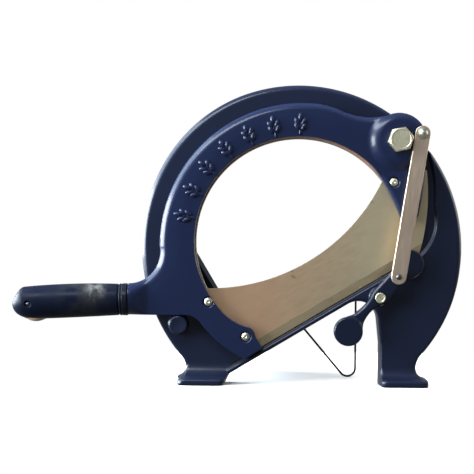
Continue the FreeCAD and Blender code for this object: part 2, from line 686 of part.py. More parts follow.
def make_wire_stand():
    route = wire_route()
    radii = [WIRE_END_BEND, WIRE_FOOT_BEND, WIRE_END_BEND]
    edges = []
    start = route[0]
    for i, radius in enumerate(radii):
        first, middle, last = bend(route[i], route[i + 1], route[i + 2], radius)
        edges.append(line(start, first, WIRE_Y))
        edges.append(arc(first, middle, last, WIRE_Y))
        start = last
    edges.append(line(start, route[-1], WIRE_Y))
    path = Part.Wire(edges)
    direction = Vector(math.cos(SLOPE), 0, math.sin(SLOPE))
    section = Part.Wire(Part.makeCircle(WIRE_RADIUS, at(route[0], WIRE_Y), direction))
    return path.makePipeShell([section], True, False)


def make_wire_eyes():
    """Two eyes under the cradle floor that carry the pins of the wire stand."""
    eyes = []
    direction = Vector(math.cos(SLOPE), 0, math.sin(SLOPE))
    starts = [WIRE_LEFT - WIRE_PIN_LENGTH + 0.5, WIRE_RIGHT + WIRE_PIN_LENGTH - 0.5 - EYE_LENGTH]
    for start in starts:
        low = at(slope_point(start, WIRE_HINGE), WIRE_Y)
        barrel = Part.makeCylinder(2.8, EYE_LENGTH, low, direction)
        strap = slope_slab(start, start + EYE_LENGTH, WIRE_HINGE, SHEAR_EDGE - SHEET,
                           WIRE_Y - 2.8, WIRE_Y + 2.8)
        hole = Part.makeCylinder(EYE_HOLE, EYE_LENGTH + 4, low - direction * 2, direction)
        eyes.append(joined([barrel, strap]).cut(hole))
    return Part.Compound(eyes)


NODES = {
    "frame": make_frame,
    "arm": make_arm,
    "blade": make_blade,
    "blade_screws": make_blade_screws,
    "grip": make_grip,
    "grip_ferrule": make_ferrule,
    "grip_pin": make_grip_pin,
    "pivot_bolt": make_pivot_bolt,
    "pivot_thrust_washer": make_pivot_washer,
    "pivot_spring_washer": make_spring_washer,
    "pivot_nut": make_pivot_nut,
    "link_bar": make_link_bar,
    "link_top_pin": make_link_top_pin,
    "link_bottom_pin": make_link_bottom_pin,
    "stop_lever": make_stop_lever,
    "stop_lever_rivet": make_lever_rivet,
    "stop_lever_washer": make_lever_washer,
    "blade_keeper": make_keeper,
    "blade_keeper_screw": make_keeper_screw,
    "bread_cradle": make_cradle,
    "cradle_screws": make_cradle_screws,
    "wire_stand": make_wire_stand,
    "wire_stand_eyes": make_wire_eyes,
}

os.makedirs("parts", exist_ok=True)
for name, make in NODES.items():
    make().exportStep("parts/" + name + ".step")
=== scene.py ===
import math

import bpy
import numpy as np
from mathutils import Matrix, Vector


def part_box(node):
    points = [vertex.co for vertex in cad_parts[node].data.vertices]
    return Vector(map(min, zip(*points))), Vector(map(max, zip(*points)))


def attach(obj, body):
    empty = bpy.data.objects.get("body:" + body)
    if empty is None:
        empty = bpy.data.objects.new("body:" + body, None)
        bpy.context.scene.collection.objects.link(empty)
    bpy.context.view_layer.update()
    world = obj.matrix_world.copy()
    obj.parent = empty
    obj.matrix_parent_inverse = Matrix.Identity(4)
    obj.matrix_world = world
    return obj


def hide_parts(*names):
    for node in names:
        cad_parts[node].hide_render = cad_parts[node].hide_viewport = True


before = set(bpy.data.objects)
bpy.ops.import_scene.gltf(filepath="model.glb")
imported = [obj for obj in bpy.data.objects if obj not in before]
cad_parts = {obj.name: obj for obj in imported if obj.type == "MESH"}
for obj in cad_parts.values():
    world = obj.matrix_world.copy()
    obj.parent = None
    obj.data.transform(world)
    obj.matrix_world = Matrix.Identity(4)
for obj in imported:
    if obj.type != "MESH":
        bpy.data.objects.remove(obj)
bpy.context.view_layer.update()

# Looks of the lever bread slicer. The castings and fittings are signed distance fields,
# turned into meshes by a surface net whose points are then moved onto the true surface.
# Lengths are in mm until a mesh is made. Elevations are (x, z) pairs, and depths are
# measured from the blade bed, the machined front of the frame, towards the back.

MM = 0.001
TABLE_STEP = 0.7            # spacing of the outline distance tables
SAMPLE = 1.5                # spacing of points on the outlines


def corners(node):
    """Lowest and highest corner of a CAD node, in mm."""
    low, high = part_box(node)
    return np.array(low) / MM, np.array(high) / MM


def middle(node):
    """The (x, z) middle of a CAD node, in mm."""
    low, high = corners(node)
    return ((low[0] + high[0]) / 2, (low[2] + high[2]) / 2)


BED = corners("pivot_thrust_washer")[1][1]
PIVOT = middle("pivot_thrust_washer")
LINK_TOP = middle("link_top_pin")
LINK_BOTTOM = middle("link_bottom_pin")
LEVER_PIVOT = middle("stop_lever_washer")
KEEPER = middle("blade_keeper")
GRIP_PIN = middle("grip_pin")

# frame
RING_CENTRE = (58.0, 131.5)
RING_RADIUS = 155.5
RING_FLAT = 5.0
OPENING_CENTRE = (58.6, 136.9)
OPENING_RADIUS = 99.2
SLOPE = math.radians(31.0)
BAR_BOTTOM = 12.6
LAND_TOP = 16.8
CUT_LINE = 19.3
SHEAR_EDGE = 26.3
SHADOW_LINE_MIDDLE = 68.0            # the painted shadow line along the bar's edge, under the blade
SHADOW_LINE_HALF = 74.0
LAND_FRONT = -3.0
WEB_BACK = 10.0
RIM_BACK = 18.0
FOOT_FRONT = -15.0
FOOT_BACK = 20.0
FOOT_THICK = 6.5
LEFT_FOOT = (-57.4, -12.6)
RIGHT_FOOT = (136.4, 182.0)
FOOT_SCREWS = [-33.0, 159.0]
BUFFER = (-56.4, 56.8)

# lever arm
ARM_BACK = -2.3
ARM_FRONT = -11.8
HUB_FRONT = -17.5
HUB_RADIUS = 26.0
ARM_CENTRE = (61.0, 133.2)
ARM_RADIUS = 135.7
ARM_OPENING = (57.2, 137.2)
ARM_OPENING_RADIUS = 98.9
TANG_TOP = 95.8
TANG_BOTTOM = 66.2
TANG_END = -104.0
BLADE_SCREWS = [(-28.2, 79.1), (7.6, 46.5), (146.6, 194.3)]

# grip and slice stop
GRIP_TIP = (-214.0, 76.0)
GRIP_END = (-112.6, 80.3)
COLLAR_LENGTH = 8.2
GRIP_DEPTH = (ARM_BACK + ARM_FRONT) / 2
STOP_DISC = (104.1, 53.0)

# cradle
SHEET = 2.5
CRADLE_WALL = 26.0
CRADLE_END = 196.0
CRADLE_TOP = 136.0
CRADLE_BACK = 125.0
CRADLE_SCREWS = [(55.0, 18.8), (165.0, 18.8), (15.0, 52.0), (15.0, 112.0)]


# ---------------------------------------------------------------- outlines
def polar(centre, radius, degrees):
    angle = math.radians(degrees)
    return (centre[0] + radius * math.cos(angle), centre[1] + radius * math.sin(angle))


def slope_point(t, n):
    """The (x, z) pair t along the slope and n across it."""
    return (t * math.cos(SLOPE) - n * math.sin(SLOPE), t * math.sin(SLOPE) + n * math.cos(SLOPE))


def arc(first, mid, last):
    """Points of the arc from first through mid, without last."""
    (ax, ay), (bx, by), (cx, cy) = first, mid, last
    d = 2 * (ax * (by - cy) + bx * (cy - ay) + cx * (ay - by))
    ux = ((ax ** 2 + ay ** 2) * (by - cy) + (bx ** 2 + by ** 2) * (cy - ay)
          + (cx ** 2 + cy ** 2) * (ay - by)) / d
    uy = ((ax ** 2 + ay ** 2) * (cx - bx) + (bx ** 2 + by ** 2) * (ax - cx)
          + (cx ** 2 + cy ** 2) * (bx - ax)) / d
    radius = math.hypot(ax - ux, ay - uy)
    start = math.atan2(ay - uy, ax - ux)
    sweep = (math.atan2(cy - uy, cx - ux) - start) % (2 * math.pi)
    if (math.atan2(by - uy, bx - ux) - start) % (2 * math.pi) > sweep:
        sweep -= 2 * math.pi
    count = max(3, int(abs(sweep) * radius / SAMPLE))
    return [(ux + radius * math.cos(start + sweep * i / count),
             uy + radius * math.sin(start + sweep * i / count)) for i in range(count)]


def ring_point(degrees):
    """A point of the frame's outer outline, which flattens towards the left."""
    off = abs(degrees - 183.0)
    flat = RING_FLAT * math.cos(math.radians(90 * off / 75.0)) ** 2 if off < 75.0 else 0.0
    return polar(RING_CENTRE, RING_RADIUS - flat, degrees)


def frame_outline():
    ring = [ring_point(-39.5 + 262.0 * i / 480) for i in range(481)]
    bar_left = (-7.4, (BAR_BOTTOM + math.sin(SLOPE) * -7.4) / math.cos(SLOPE))
    bar_right = (106.0, (BAR_BOTTOM + math.sin(SLOPE) * 106.0) / math.cos(SLOPE))
    left_neck, right_neck = (-49.0, 16.3), (170.4, 17.5)
    left_toe, right_toe = (LEFT_FOOT[0], FOOT_THICK), (RIGHT_FOOT[1], FOOT_THICK)
    outline = ring[:-1]
    outline += arc(ring[-1], (-50.6, 22.0), left_neck)
    outline += arc(left_neck, (-51.2, 10.4), left_toe)
    outline += [left_toe, (LEFT_FOOT[0], 0.0), (LEFT_FOOT[1], 0.0), bar_left]
    outline += arc(bar_right, (122.5, 79.2), (133.8, 65.0))
    outline += [(133.8, 65.0), (RIGHT_FOOT[0], 40.0), (RIGHT_FOOT[0], 0.0), (RIGHT_FOOT[1], 0.0)]
    outline += arc(right_toe, (173.4, 10.5), right_neck)
    outline += arc(right_neck, (172.2, 24.6), ring[0])
    return outline


def bed_outline():
    """The space in front of the machined bed that the blade and arm sweep."""
    corner = slope_point(205.0, LAND_TOP)
    outline = [slope_point(-10.0, LAND_TOP)]
    outline += arc(corner, (184.8, 140.0), (186.6, 172.0))
    outline += arc((186.6, 172.0), (186.6, 196.0), (180.0, 225.0))
    return outline + [(180.0, 225.0), (230.0, 225.0), (230.0, 320.0), (-120.0, 320.0), (-120.0, -5.0)]


def arm_outline():
    ring_top = polar(ARM_CENTRE, ARM_RADIUS, 84)
    ring_left = polar(ARM_CENTRE, ARM_RADIUS, 181)
    hub_left = polar(PIVOT, HUB_RADIUS, 118)
    hub_right = polar(PIVOT, HUB_RADIUS, -8)
    shoulder = polar(ARM_OPENING, ARM_OPENING_RADIUS, 38.5)
    elbow = polar(ARM_OPENING, ARM_OPENING_RADIUS, 222)
    low = polar(ARM_CENTRE, 121.5, 219)
    low_end = polar(ARM_CENTRE, 120.5, 243.5)
    outline = arc(hub_left, polar(PIVOT, HUB_RADIUS, 60), hub_right)
    outline += arc(hub_right, (175.6, 197.0), (171.0, 166.0))
    outline += arc((171.0, 166.0), (161.6, 157.0), (152.6, 164.0))
    outline += arc((152.6, 164.0), (145.0, 180.6), shoulder)
    outline += arc(shoulder, polar(ARM_OPENING, ARM_OPENING_RADIUS, 140), elbow)
    outline += arc(elbow, (-3.8, 60.8), (9.4, 55.4))
    outline += arc((9.4, 55.4), (14.2, 52.8), (16.4, 47.6))
    outline += [(16.4, 47.6), slope_point(38.6, CUT_LINE - 1.0)]
    outline += arc(low_end, polar(ARM_CENTRE, 121.2, 231), low)
    outline += arc(low, (-41.4, 64.2), (-48.0, TANG_BOTTOM))
    outline += [(-48.0, TANG_BOTTOM), (TANG_END - 16, TANG_BOTTOM), (TANG_END - 16, TANG_TOP)]
    outline += arc((TANG_END, TANG_TOP), (-82.4, 105.2), ring_left)
    outline += arc(ring_left, polar(ARM_CENTRE, ARM_RADIUS, 135), ring_top)
    outline += arc(ring_top, (86.6, 265.6), (99.0, 260.9))
    outline += arc((99.0, 260.9), (120.6, 256.0), hub_left)
    return outline


def lever_outline():
    """Round end for the link, round hub and narrow neck that runs into the stop."""
    across = math.degrees(math.atan2(LINK_BOTTOM[1] - LEVER_PIVOT[1], LINK_BOTTOM[0] - LEVER_PIVOT[0]))
    end_a, end_b = polar(LINK_BOTTOM, 7.6, across - 90), polar(LINK_BOTTOM, 7.6, across + 90)
    hub_a, hub_b = polar(LEVER_PIVOT, 8.6, across - 90), polar(LEVER_PIVOT, 8.6, across + 90)
    disc_a, disc_b = polar(STOP_DISC, 13.6, -12), polar(STOP_DISC, 13.6, 104)
    outline = arc(end_a, polar(LINK_BOTTOM, 7.6, across), end_b)
    outline += [end_b]
    outline += arc(hub_b, (116.6, 75.0), disc_b)
    outline += arc(disc_b, polar(STOP_DISC, 13.6, 226), disc_a)
    outline += arc(disc_a, (125.0, 71.0), hub_a)
    return outline + [hub_a]


class Flat:
    """Signed distance to a closed outline in elevation, negative inside, read off a table."""

    def __init__(self, outline, pad=14.0):
        points = np.array(outline)
        self.low = points.min(0) - pad
        count = np.ceil((points.max(0) + pad - self.low) / TABLE_STEP).astype(int) + 1
        x, z = (self.low[i] + TABLE_STEP * np.arange(count[i]) for i in (0, 1))
        x, z = x[:, None].astype(np.float32), z[None, :].astype(np.float32)
        nearest = np.full(count, 1e9, np.float32)
        inside = np.zeros(count, bool)
        for (ax, az), (bx, bz) in zip(points, np.roll(points, -1, 0)):
            ex, ez = bx - ax, bz - az
            length = ex * ex + ez * ez
            if length < 1e-9:
                continue
            qx, qz = x - np.float32(ax), z - np.float32(az)
            share = np.clip((qx * np.float32(ex) + qz * np.float32(ez)) / np.float32(length), 0, 1)
            np.minimum(nearest, (qx - share * np.float32(ex)) ** 2
                       + (qz - share * np.float32(ez)) ** 2, out=nearest)
            crossed = ((az > z) != (bz > z))[0]
            if crossed.any():
                inside[:, crossed] ^= qx < qz[:, crossed] * np.float32(ex / ez)
        self.table = np.where(inside, -1, 1) * np.sqrt(nearest)

    def __call__(self, x, z):
        rows, columns = self.table.shape
        u = np.clip((x - self.low[0]) / TABLE_STEP, 0, rows - 1.001)
        v = np.clip((z - self.low[1]) / TABLE_STEP, 0, columns - 1.001)
        i, j = u.astype(int), v.astype(int)
        u, v = u - i, v - j
        t = self.table
        return ((t[i, j] * (1 - u) + t[i + 1, j] * u) * (1 - v)
                + (t[i, j + 1] * (1 - u) + t[i + 1, j + 1] * u) * v)


# ---------------------------------------------------------------- distance fields
def extrude(flat, depth, front, back, round_front, round_back=None):
    """A plate between two depths whose front and back edges are rounded."""
    round_back = round_front if round_back is None else round_back
    centre, half = (front + back) / 2, (back - front) / 2
    radius = np.where(depth < centre, round_front, round_back)
    a = flat + radius
    b = np.abs(depth - centre) - half + radius
    return np.minimum(np.maximum(a, b), 0) + np.hypot(np.maximum(a, 0), np.maximum(b, 0)) - radius


def join(a, b, radius):
    """Union with a concave fillet."""
    u, v = np.maximum(radius - a, 0), np.maximum(radius - b, 0)
    return np.maximum(radius, np.minimum(a, b)) - np.hypot(u, v)


def meet(a, b, radius):
    """Intersection with a rounded edge."""
    return -join(-a, -b, radius)


def cut(a, b, radius):
    """a without b, with a rounded edge."""
    return -join(-a, b, radius)


def ramp(value):
    value = np.clip(value, 0, 1)
    return value * value * (3 - 2 * value)


def radial(x, z, centre):
    return np.hypot(x - centre[0], z - centre[1])


def capsule(x, z, a, b):
    """Distance to the straight line from a to b, in elevation."""
    ex, ez = b[0] - a[0], b[1] - a[1]
    share = np.clip(((x - a[0]) * ex + (z - a[1]) * ez) / (ex * ex + ez * ez), 0, 1)
    return np.hypot(x - a[0] - share * ex, z - a[1] - share * ez)


def rectangle(u, v, low, high, radius):
    """Distance to a rectangle with round corners, in its own plane."""
    a = np.abs(u - (low[0] + high[0]) / 2) - (high[0] - low[0]) / 2 + radius
    b = np.abs(v - (low[1] + high[1]) / 2) - (high[1] - low[1]) / 2 + radius
    return np.minimum(np.maximum(a, b), 0) + np.hypot(np.maximum(a, 0), np.maximum(b, 0)) - radius


def hexagon(x, z, centre, flats, turn):
    """Distance to a hexagon across flats, one corner at the angle turn."""
    distance = -1e9
    for i in range(6):
        angle = math.radians(turn + 30 + 60 * i)
        side = (x - centre[0]) * math.cos(angle) + (z - centre[1]) * math.sin(angle) - flats / 2
        distance = np.maximum(distance, side)
    return distance


def dome(x, d, z, centre, radius, height, base):
    """A round head that stands height in front of the depth base."""
    ball = (radius ** 2 + height ** 2) / (2 * height)
    sphere = np.sqrt((x - centre[0]) ** 2 + (z - centre[1]) ** 2
                     + (d - base + height - ball) ** 2) - ball
    return meet(sphere, d - base, 0.35)


# ---------------------------------------------------------------- meshing
def surface_net(values, low, step):
    """Points and quads of the zero surface of a sampled field."""
    inside = values < 0
    count = np.zeros(tuple(n - 1 for n in inside.shape), np.uint8)
    offsets = [(i, j, k) for i in (0, 1) for j in (0, 1) for k in (0, 1)]
    for i, j, k in offsets:
        count += inside[i:i + count.shape[0], j:j + count.shape[1], k:k + count.shape[2]]
    active = (count > 0) & (count < 8)
    cells = np.argwhere(active)
    number = np.full(active.shape, -1, np.int32)
    number[active] = np.arange(len(cells))
    sampled = np.stack([values[cells[:, 0] + i, cells[:, 1] + j, cells[:, 2] + k]
                        for i, j, k in offsets], 1)
    total, crossings = np.zeros((len(cells), 3)), np.zeros(len(cells))
    for a in range(8):
        for b in range(a + 1, 8):
            if sum(p != q for p, q in zip(offsets[a], offsets[b])) != 1:
                continue
            crossed = (sampled[:, a] < 0) != (sampled[:, b] < 0)
            va, vb = sampled[crossed, a], sampled[crossed, b]
            share = (va / (va - vb))[:, None]
            total[crossed] += np.array(offsets[a]) * (1 - share) + np.array(offsets[b]) * share
            crossings[crossed] += 1
    points = (cells + total / crossings[:, None]) * step + low
    quads = []
    for axis in range(3):
        u, v = (axis + 1) % 3, (axis + 2) % 3
        first, second = [slice(None)] * 3, [slice(None)] * 3
        first[axis], second[axis] = slice(0, -1), slice(1, None)
        leaves, enters = inside[tuple(first)], inside[tuple(second)]
        for outward, found in ((True, leaves & ~enters), (False, ~leaves & enters)):
            at = np.argwhere(found)
            around = []
            for du, dv in ((-1, -1), (0, -1), (0, 0), (-1, 0)):
                cell = at.copy()
                cell[:, u] += du
                cell[:, v] += dv
                around.append(number[cell[:, 0], cell[:, 1], cell[:, 2]])
            around = np.stack(around, 1)
            quads.append(around if outward else around[:, ::-1])
    return points, np.concatenate(quads)


def slope_of(field, points, reach):
    """Gradient of a field at points."""
    parts = []
    for axis in range(3):
        shift = np.zeros(3)
        shift[axis] = reach
        parts.append((field(*(points + shift).T) - field(*(points - shift).T)) / (2 * reach))
    return np.stack(parts, 1)


def mesh_piece(name, points, faces, body, look, nodes=(), normals=None):
    """A mesh object from points in mm in the row frame, with its material, body and CAD nodes."""
    mesh = bpy.data.meshes.new(name)
    faces = np.asarray(faces, np.int32)
    mesh.vertices.add(len(points))
    mesh.vertices.foreach_set("co", (np.asarray(points) * MM).astype(np.float32).ravel())
    mesh.loops.add(faces.size)
    mesh.loops.foreach_set("vertex_index", faces.ravel())
    mesh.polygons.add(len(faces))
    mesh.polygons.foreach_set("loop_start", np.arange(0, faces.size, faces.shape[1], dtype=np.int32))
    mesh.update(calc_edges=True)
    mesh.validate()
    mesh.shade_smooth()
    if normals is not None:
        mesh.normals_split_custom_set_from_vertices(normals.astype(np.float32).tolist())
    obj = bpy.data.objects.new(name, mesh)
    bpy.context.scene.collection.objects.link(obj)
    obj.data.materials.append(look)
    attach(obj, body)
    if nodes:
        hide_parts(*nodes)
    return obj


def cast(name, field, low, high, step, body, look, nodes=(), slot=None):
    """Mesh a field given in (x, depth, z) and make it a piece."""
    low, high = np.array(low, float) - 2.5 * step, np.array(high, float) + 2.5 * step
    axes = [np.arange(low[i], high[i] + step, step) for i in range(3)]
    values = field(axes[0][:, None, None], axes[1][None, :, None], axes[2][None, None, :])
    points, quads = surface_net(values.astype(np.float32), low, step)
    for _ in range(4):
        slope = slope_of(field, points, 0.1)
        size = np.maximum((slope ** 2).sum(1), 0.2)
        move = slope * (field(*points.T) / size)[:, None]
        points -= np.clip(move, -0.5 * step, 0.5 * step)
    normals = slope_of(field, points, 0.35 * step)
    normals /= np.maximum(np.linalg.norm(normals, axis=1), 1e-6)[:, None]
    points[:, 1] += BED
    return mesh_piece(name, points, quads, body, look, nodes, normals)


def box_of(node, grow=0.0):
    """A CAD node's box with y turned into depth."""
    low, high = corners(node)
    shift = np.array([0, BED, 0])
    return low - shift - grow, high - shift + grow


# ---------------------------------------------------------------- materials
class Look:
    """A Principled material built up from node calls."""

    def __init__(self, name, colour, roughness, metallic=0.0, **constants):
        self.material = bpy.data.materials.new(name)
        self.material.use_nodes = True
        self.tree = self.material.node_tree
        self.shader = self.tree.nodes["Principled BSDF"]
        self.set("Base Color", (*colour, 1.0))
        self.set("Roughness", roughness)
        self.set("Metallic", metallic)
        for socket, value in constants.items():
            self.set(socket.replace("_", " "), value)
        self.place = self.node("ShaderNodeTexCoord").outputs["Object"]
        self.height = None

    def set(self, socket, value):
        self.shader.inputs[socket].default_value = value

    def node(self, kind, **settings):
        made = self.tree.nodes.new(kind)
        for key, value in settings.items():
            setattr(made, key, value)
        return made

    def link(self, source, target):
        self.tree.links.new(source, target)

    def noise(self, scale, detail=3.0, roughness=0.55, stretch=None, turn=None):
        """Noise in metres; stretch scales each axis after the turn about Y."""
        made = self.node("ShaderNodeTexNoise")
        made.inputs["Scale"].default_value = scale
        made.inputs["Detail"].default_value = detail
        made.inputs["Roughness"].default_value = roughness
        place = self.place
        if turn is not None:
            mapping = self.node("ShaderNodeMapping")
            mapping.inputs["Rotation"].default_value = (0, turn, 0)
            self.link(place, mapping.inputs["Vector"])
            place = mapping.outputs["Vector"]
        if stretch is not None:
            mapping = self.node("ShaderNodeMapping")
            mapping.inputs["Scale"].default_value = stretch
            self.link(place, mapping.inputs["Vector"])
            place = mapping.outputs["Vector"]
        self.link(place, made.inputs["Vector"])
        return made.outputs["Fac"]

    def ramp(self, source, stops):
        """Colours over a 0 to 1 value; stops are (position, colour)."""
        made = self.node("ShaderNodeValToRGB")
        ramp_data = made.color_ramp
        while len(ramp_data.elements) < len(stops):
            ramp_data.elements.new(0.5)
        for element, (position, colour) in zip(ramp_data.elements, stops):
            element.position = position
            element.color = (*colour, 1.0)
        self.link(source, made.inputs["Fac"])
        return made.outputs["Color"]

    def range(self, source, low, high, to_low, to_high):
        made = self.node("ShaderNodeMapRange")
        for socket, value in zip(("From Min", "From Max", "To Min", "To Max"),
                                 (low, high, to_low, to_high)):
            made.inputs[socket].default_value = value
        self.link(source, made.inputs["Value"])
        return made.outputs["Result"]

    def mix(self, share, first, second):
        """Mix two colours; each is a socket or a constant colour."""
        made = self.node("ShaderNodeMix", data_type="RGBA")
        self.link(share, made.inputs[0])
        for source, target in ((first, made.inputs[6]), (second, made.inputs[7])):
            if isinstance(source, tuple):
                target.default_value = (*source, 1.0)
            else:
                self.link(source, target)
        return made.outputs[2]

    def maths(self, operation, first, second=None):
        made = self.node("ShaderNodeMath", operation=operation, use_clamp=False)
        for value, target in zip((first, second), made.inputs):
            if value is None:
                continue
            if isinstance(value, (int, float)):
                target.default_value = value
            else:
                self.link(value, target)
        return made.outputs[0]

    def colour(self, source):
        self.link(source, self.shader.inputs["Base Color"])

    def rough(self, source):
        self.link(source, self.shader.inputs["Roughness"])

    def bump(self, source, strength, distance_mm):
        made = self.node("ShaderNodeBump")
        made.inputs["Strength"].default_value = strength
        made.inputs["Distance"].default_value = distance_mm * MM
        self.link(source, made.inputs["Height"])
        if self.height is not None:
            self.link(self.height, made.inputs["Normal"])
        self.height = made.outputs["Normal"]
        self.link(self.height, self.shader.inputs["Normal"])


def enamel(name, dark, light, peel=0.05, bare=None, shine=0.28):
    """Glossy stove enamel over sand cast iron.

    bare is the ground wall of a round opening: centre, radius, and the least height over the slope. The
    wall's colour is the bare metal with a painted warm reflection, browner towards the top.
    With it comes a painted shadow: a black line along the shear edge of the sloping bar, where shade
    falls under the blade.
    """
    look = Look(name, light, 0.25, IOR=1.5, Specular_IOR_Level=shine, Coat_Weight=0.8 * shine,
                Coat_Roughness=0.1)
    colour = look.ramp(look.noise(11.0, 4.0), [(0.32, dark), (0.68, light)])
    rough = look.range(look.noise(70.0, 4.0), 0.2, 0.8, 0.29, 0.33)
    if bare:
        (centre_x, centre_z), radius, lowest = bare
        place = look.node("ShaderNodeSeparateXYZ")
        look.link(look.place, place.inputs[0])
        across = look.maths("SUBTRACT", place.outputs["X"], centre_x * MM)
        upward = look.maths("SUBTRACT", place.outputs["Z"], centre_z * MM)
        squares = look.maths("ADD", look.maths("MULTIPLY", across, across),
                             look.maths("MULTIPLY", upward, upward))
        off = look.maths("SQRT", squares)
        wall = look.range(off, (radius + 0.25) * MM, (radius + 0.75) * MM, 1.0, 0.0)
        rise = look.maths("SUBTRACT", look.maths("MULTIPLY", place.outputs["Z"], math.cos(SLOPE)),
                          look.maths("MULTIPLY", place.outputs["X"], math.sin(SLOPE)))
        wall = look.maths("MULTIPLY", wall,
                          look.range(rise, (lowest - 2.0) * MM, (lowest + 14.0) * MM, 0.0, 1.0))
        # Bare ground metal of the wall, with a painted warm reflection that turns browner towards the
        # top.
        warm_top_reflection = look.range(upward, 0.02, 0.09, 0.0, 1.0)
        bare_metal_and_reflection = look.mix(warm_top_reflection, (0.22, 0.20, 0.165), (0.22, 0.105, 0.045))
        scale = look.noise(260.0, 4.0)
        bare_metal_and_reflection = look.mix(look.range(scale, 0.35, 0.75, 0.0, 0.5), bare_metal_and_reflection, (0.13, 0.08, 0.05))
        colour = look.mix(wall, colour, bare_metal_and_reflection)
        rough = look.maths("ADD", rough, look.maths("MULTIPLY", wall, 0.2))
        # Painted shadow: a black strip on the bed between the land and the blade's cutting edge, where
        # shade falls under the blade.
        painted_shadow_strip = look.maths("MULTIPLY",
                           look.range(rise, (LAND_TOP - 0.6) * MM, (LAND_TOP - 0.1) * MM, 0.0, 1.0),
                           look.range(rise, (CUT_LINE + 0.6) * MM, (CUT_LINE + 1.1) * MM, 1.0, 0.0))
        proud = look.maths("ABSOLUTE", look.maths("SUBTRACT", place.outputs["Y"], BED * MM))
        painted_shadow_strip = look.maths("MULTIPLY", painted_shadow_strip, look.range(proud, 0.6 * MM, 1.0 * MM, 1.0, 0.0))
        beside = look.maths("ABSOLUTE", look.maths("SUBTRACT", place.outputs["X"], SHADOW_LINE_MIDDLE * MM))
        painted_shadow_strip = look.maths("MULTIPLY", painted_shadow_strip,
                           look.range(beside, SHADOW_LINE_HALF * MM, (SHADOW_LINE_HALF + 4.0) * MM, 1.0, 0.0))
        colour = look.mix(painted_shadow_strip, colour, (0.0008, 0.0008, 0.0012))
        rough = look.maths("ADD", rough, look.maths("MULTIPLY", painted_shadow_strip, 0.4))
    look.colour(colour)
    look.rough(rough)
    look.bump(look.noise(620.0, 2.0, 0.5), peel, 0.14)
    return look.material


def steel(name, dark, light, roughness, grain, turn=0.0, stretch=(1.0, 1.0, 1.0), metallic=1.0):
    """Metal with a drawn or ground grain."""
    look = Look(name, light, roughness, metallic)
    streaks = look.noise(grain, 5.0, 0.6, stretch, turn)
    clouds = look.noise(16.0, 3.0)
    blend = look.maths("ADD", look.maths("MULTIPLY", streaks, 0.55), look.maths("MULTIPLY", clouds, 0.45))
    look.colour(look.ramp(blend, [(0.3, dark), (0.7, light)]))
    look.rough(look.range(streaks, 0.25, 0.75, roughness - 0.06, roughness + 0.08))
    look.bump(streaks, 0.06, 0.12)
    return look.material


def dull_paint(name, dark, light, grain=180.0, shine=0.02):
    """Thin satin paint on sheet or wire."""
    look = Look(name, light, 0.5, IOR=1.5, Specular_IOR_Level=shine)
    speck = look.noise(grain, 3.0)
    look.colour(look.ramp(speck, [(0.35, dark), (0.7, light)]))
    look.rough(look.range(speck, 0.3, 0.7, 0.45, 0.6))
    look.bump(speck, 0.08, 0.1)
    return look.material


def blade_steel():
    """Carbon steel ground along the edge: pinkish tan at the left, greener at the right, dull bevel."""
    look = Look("blade_ground_steel", (0.45, 0.37, 0.28), 0.42, 1.0)
    place = look.node("ShaderNodeSeparateXYZ")
    look.link(look.place, place.inputs[0])
    streaks = look.noise(60.0, 5.0, 0.6, (1.0, 1.0, 26.0), SLOPE)
    clouds = look.noise(14.0, 3.0)
    shade = look.range(look.maths("ADD", streaks, clouds), 0.6, 1.4, 0.0, 1.0)
    warm = look.mix(shade, (0.85, 0.54, 0.33), (0.97, 0.64, 0.40))
    green = look.mix(shade, (0.78, 0.66, 0.43), (0.90, 0.78, 0.52))
    colour = look.mix(look.range(place.outputs["X"], 0.02, 0.13, 0.0, 1.0), warm, green)
    rise = look.maths("SUBTRACT", look.maths("MULTIPLY", place.outputs["Z"], math.cos(SLOPE)),
                      look.maths("MULTIPLY", place.outputs["X"], math.sin(SLOPE)))
    bevel = look.range(rise, (CUT_LINE + 7.6) * MM, (CUT_LINE + 8.2) * MM, 1.0, 0.0)
    colour = look.mix(bevel, colour, look.mix(shade, (0.56, 0.45, 0.28), (0.66, 0.54, 0.35)))
    stains = look.range(look.noise(85.0, 2.0), 0.70, 0.78, 0.0, 0.5)
    look.colour(look.mix(stains, colour, (0.22, 0.17, 0.12)))
    rough = look.range(streaks, 0.25, 0.75, 0.38, 0.5)
    look.rough(look.maths("ADD", rough, look.maths("MULTIPLY", bevel, 0.18)))
    look.bump(streaks, 0.06, 0.12)
    return look.material


FRAME_BLUE = enamel("frame_enamel_blue", (0.006, 0.0095, 0.024), (0.0075, 0.0115, 0.030),
                    bare=(OPENING_CENTRE, OPENING_RADIUS, 40.0))
ARM_BLUE = enamel("arm_enamel_blue", (0.006, 0.011, 0.036), (0.007, 0.013, 0.042), 0.07,
                  bare=(ARM_OPENING, ARM_OPENING_RADIUS, 105.0))
LEVER_BLUE = enamel("lever_enamel_blue", (0.003, 0.006, 0.017), (0.004, 0.008, 0.023))
COLLAR_BLUE = enamel("collar_enamel_dark", (0.006, 0.007, 0.012), (0.009, 0.010, 0.016), shine=0.06)
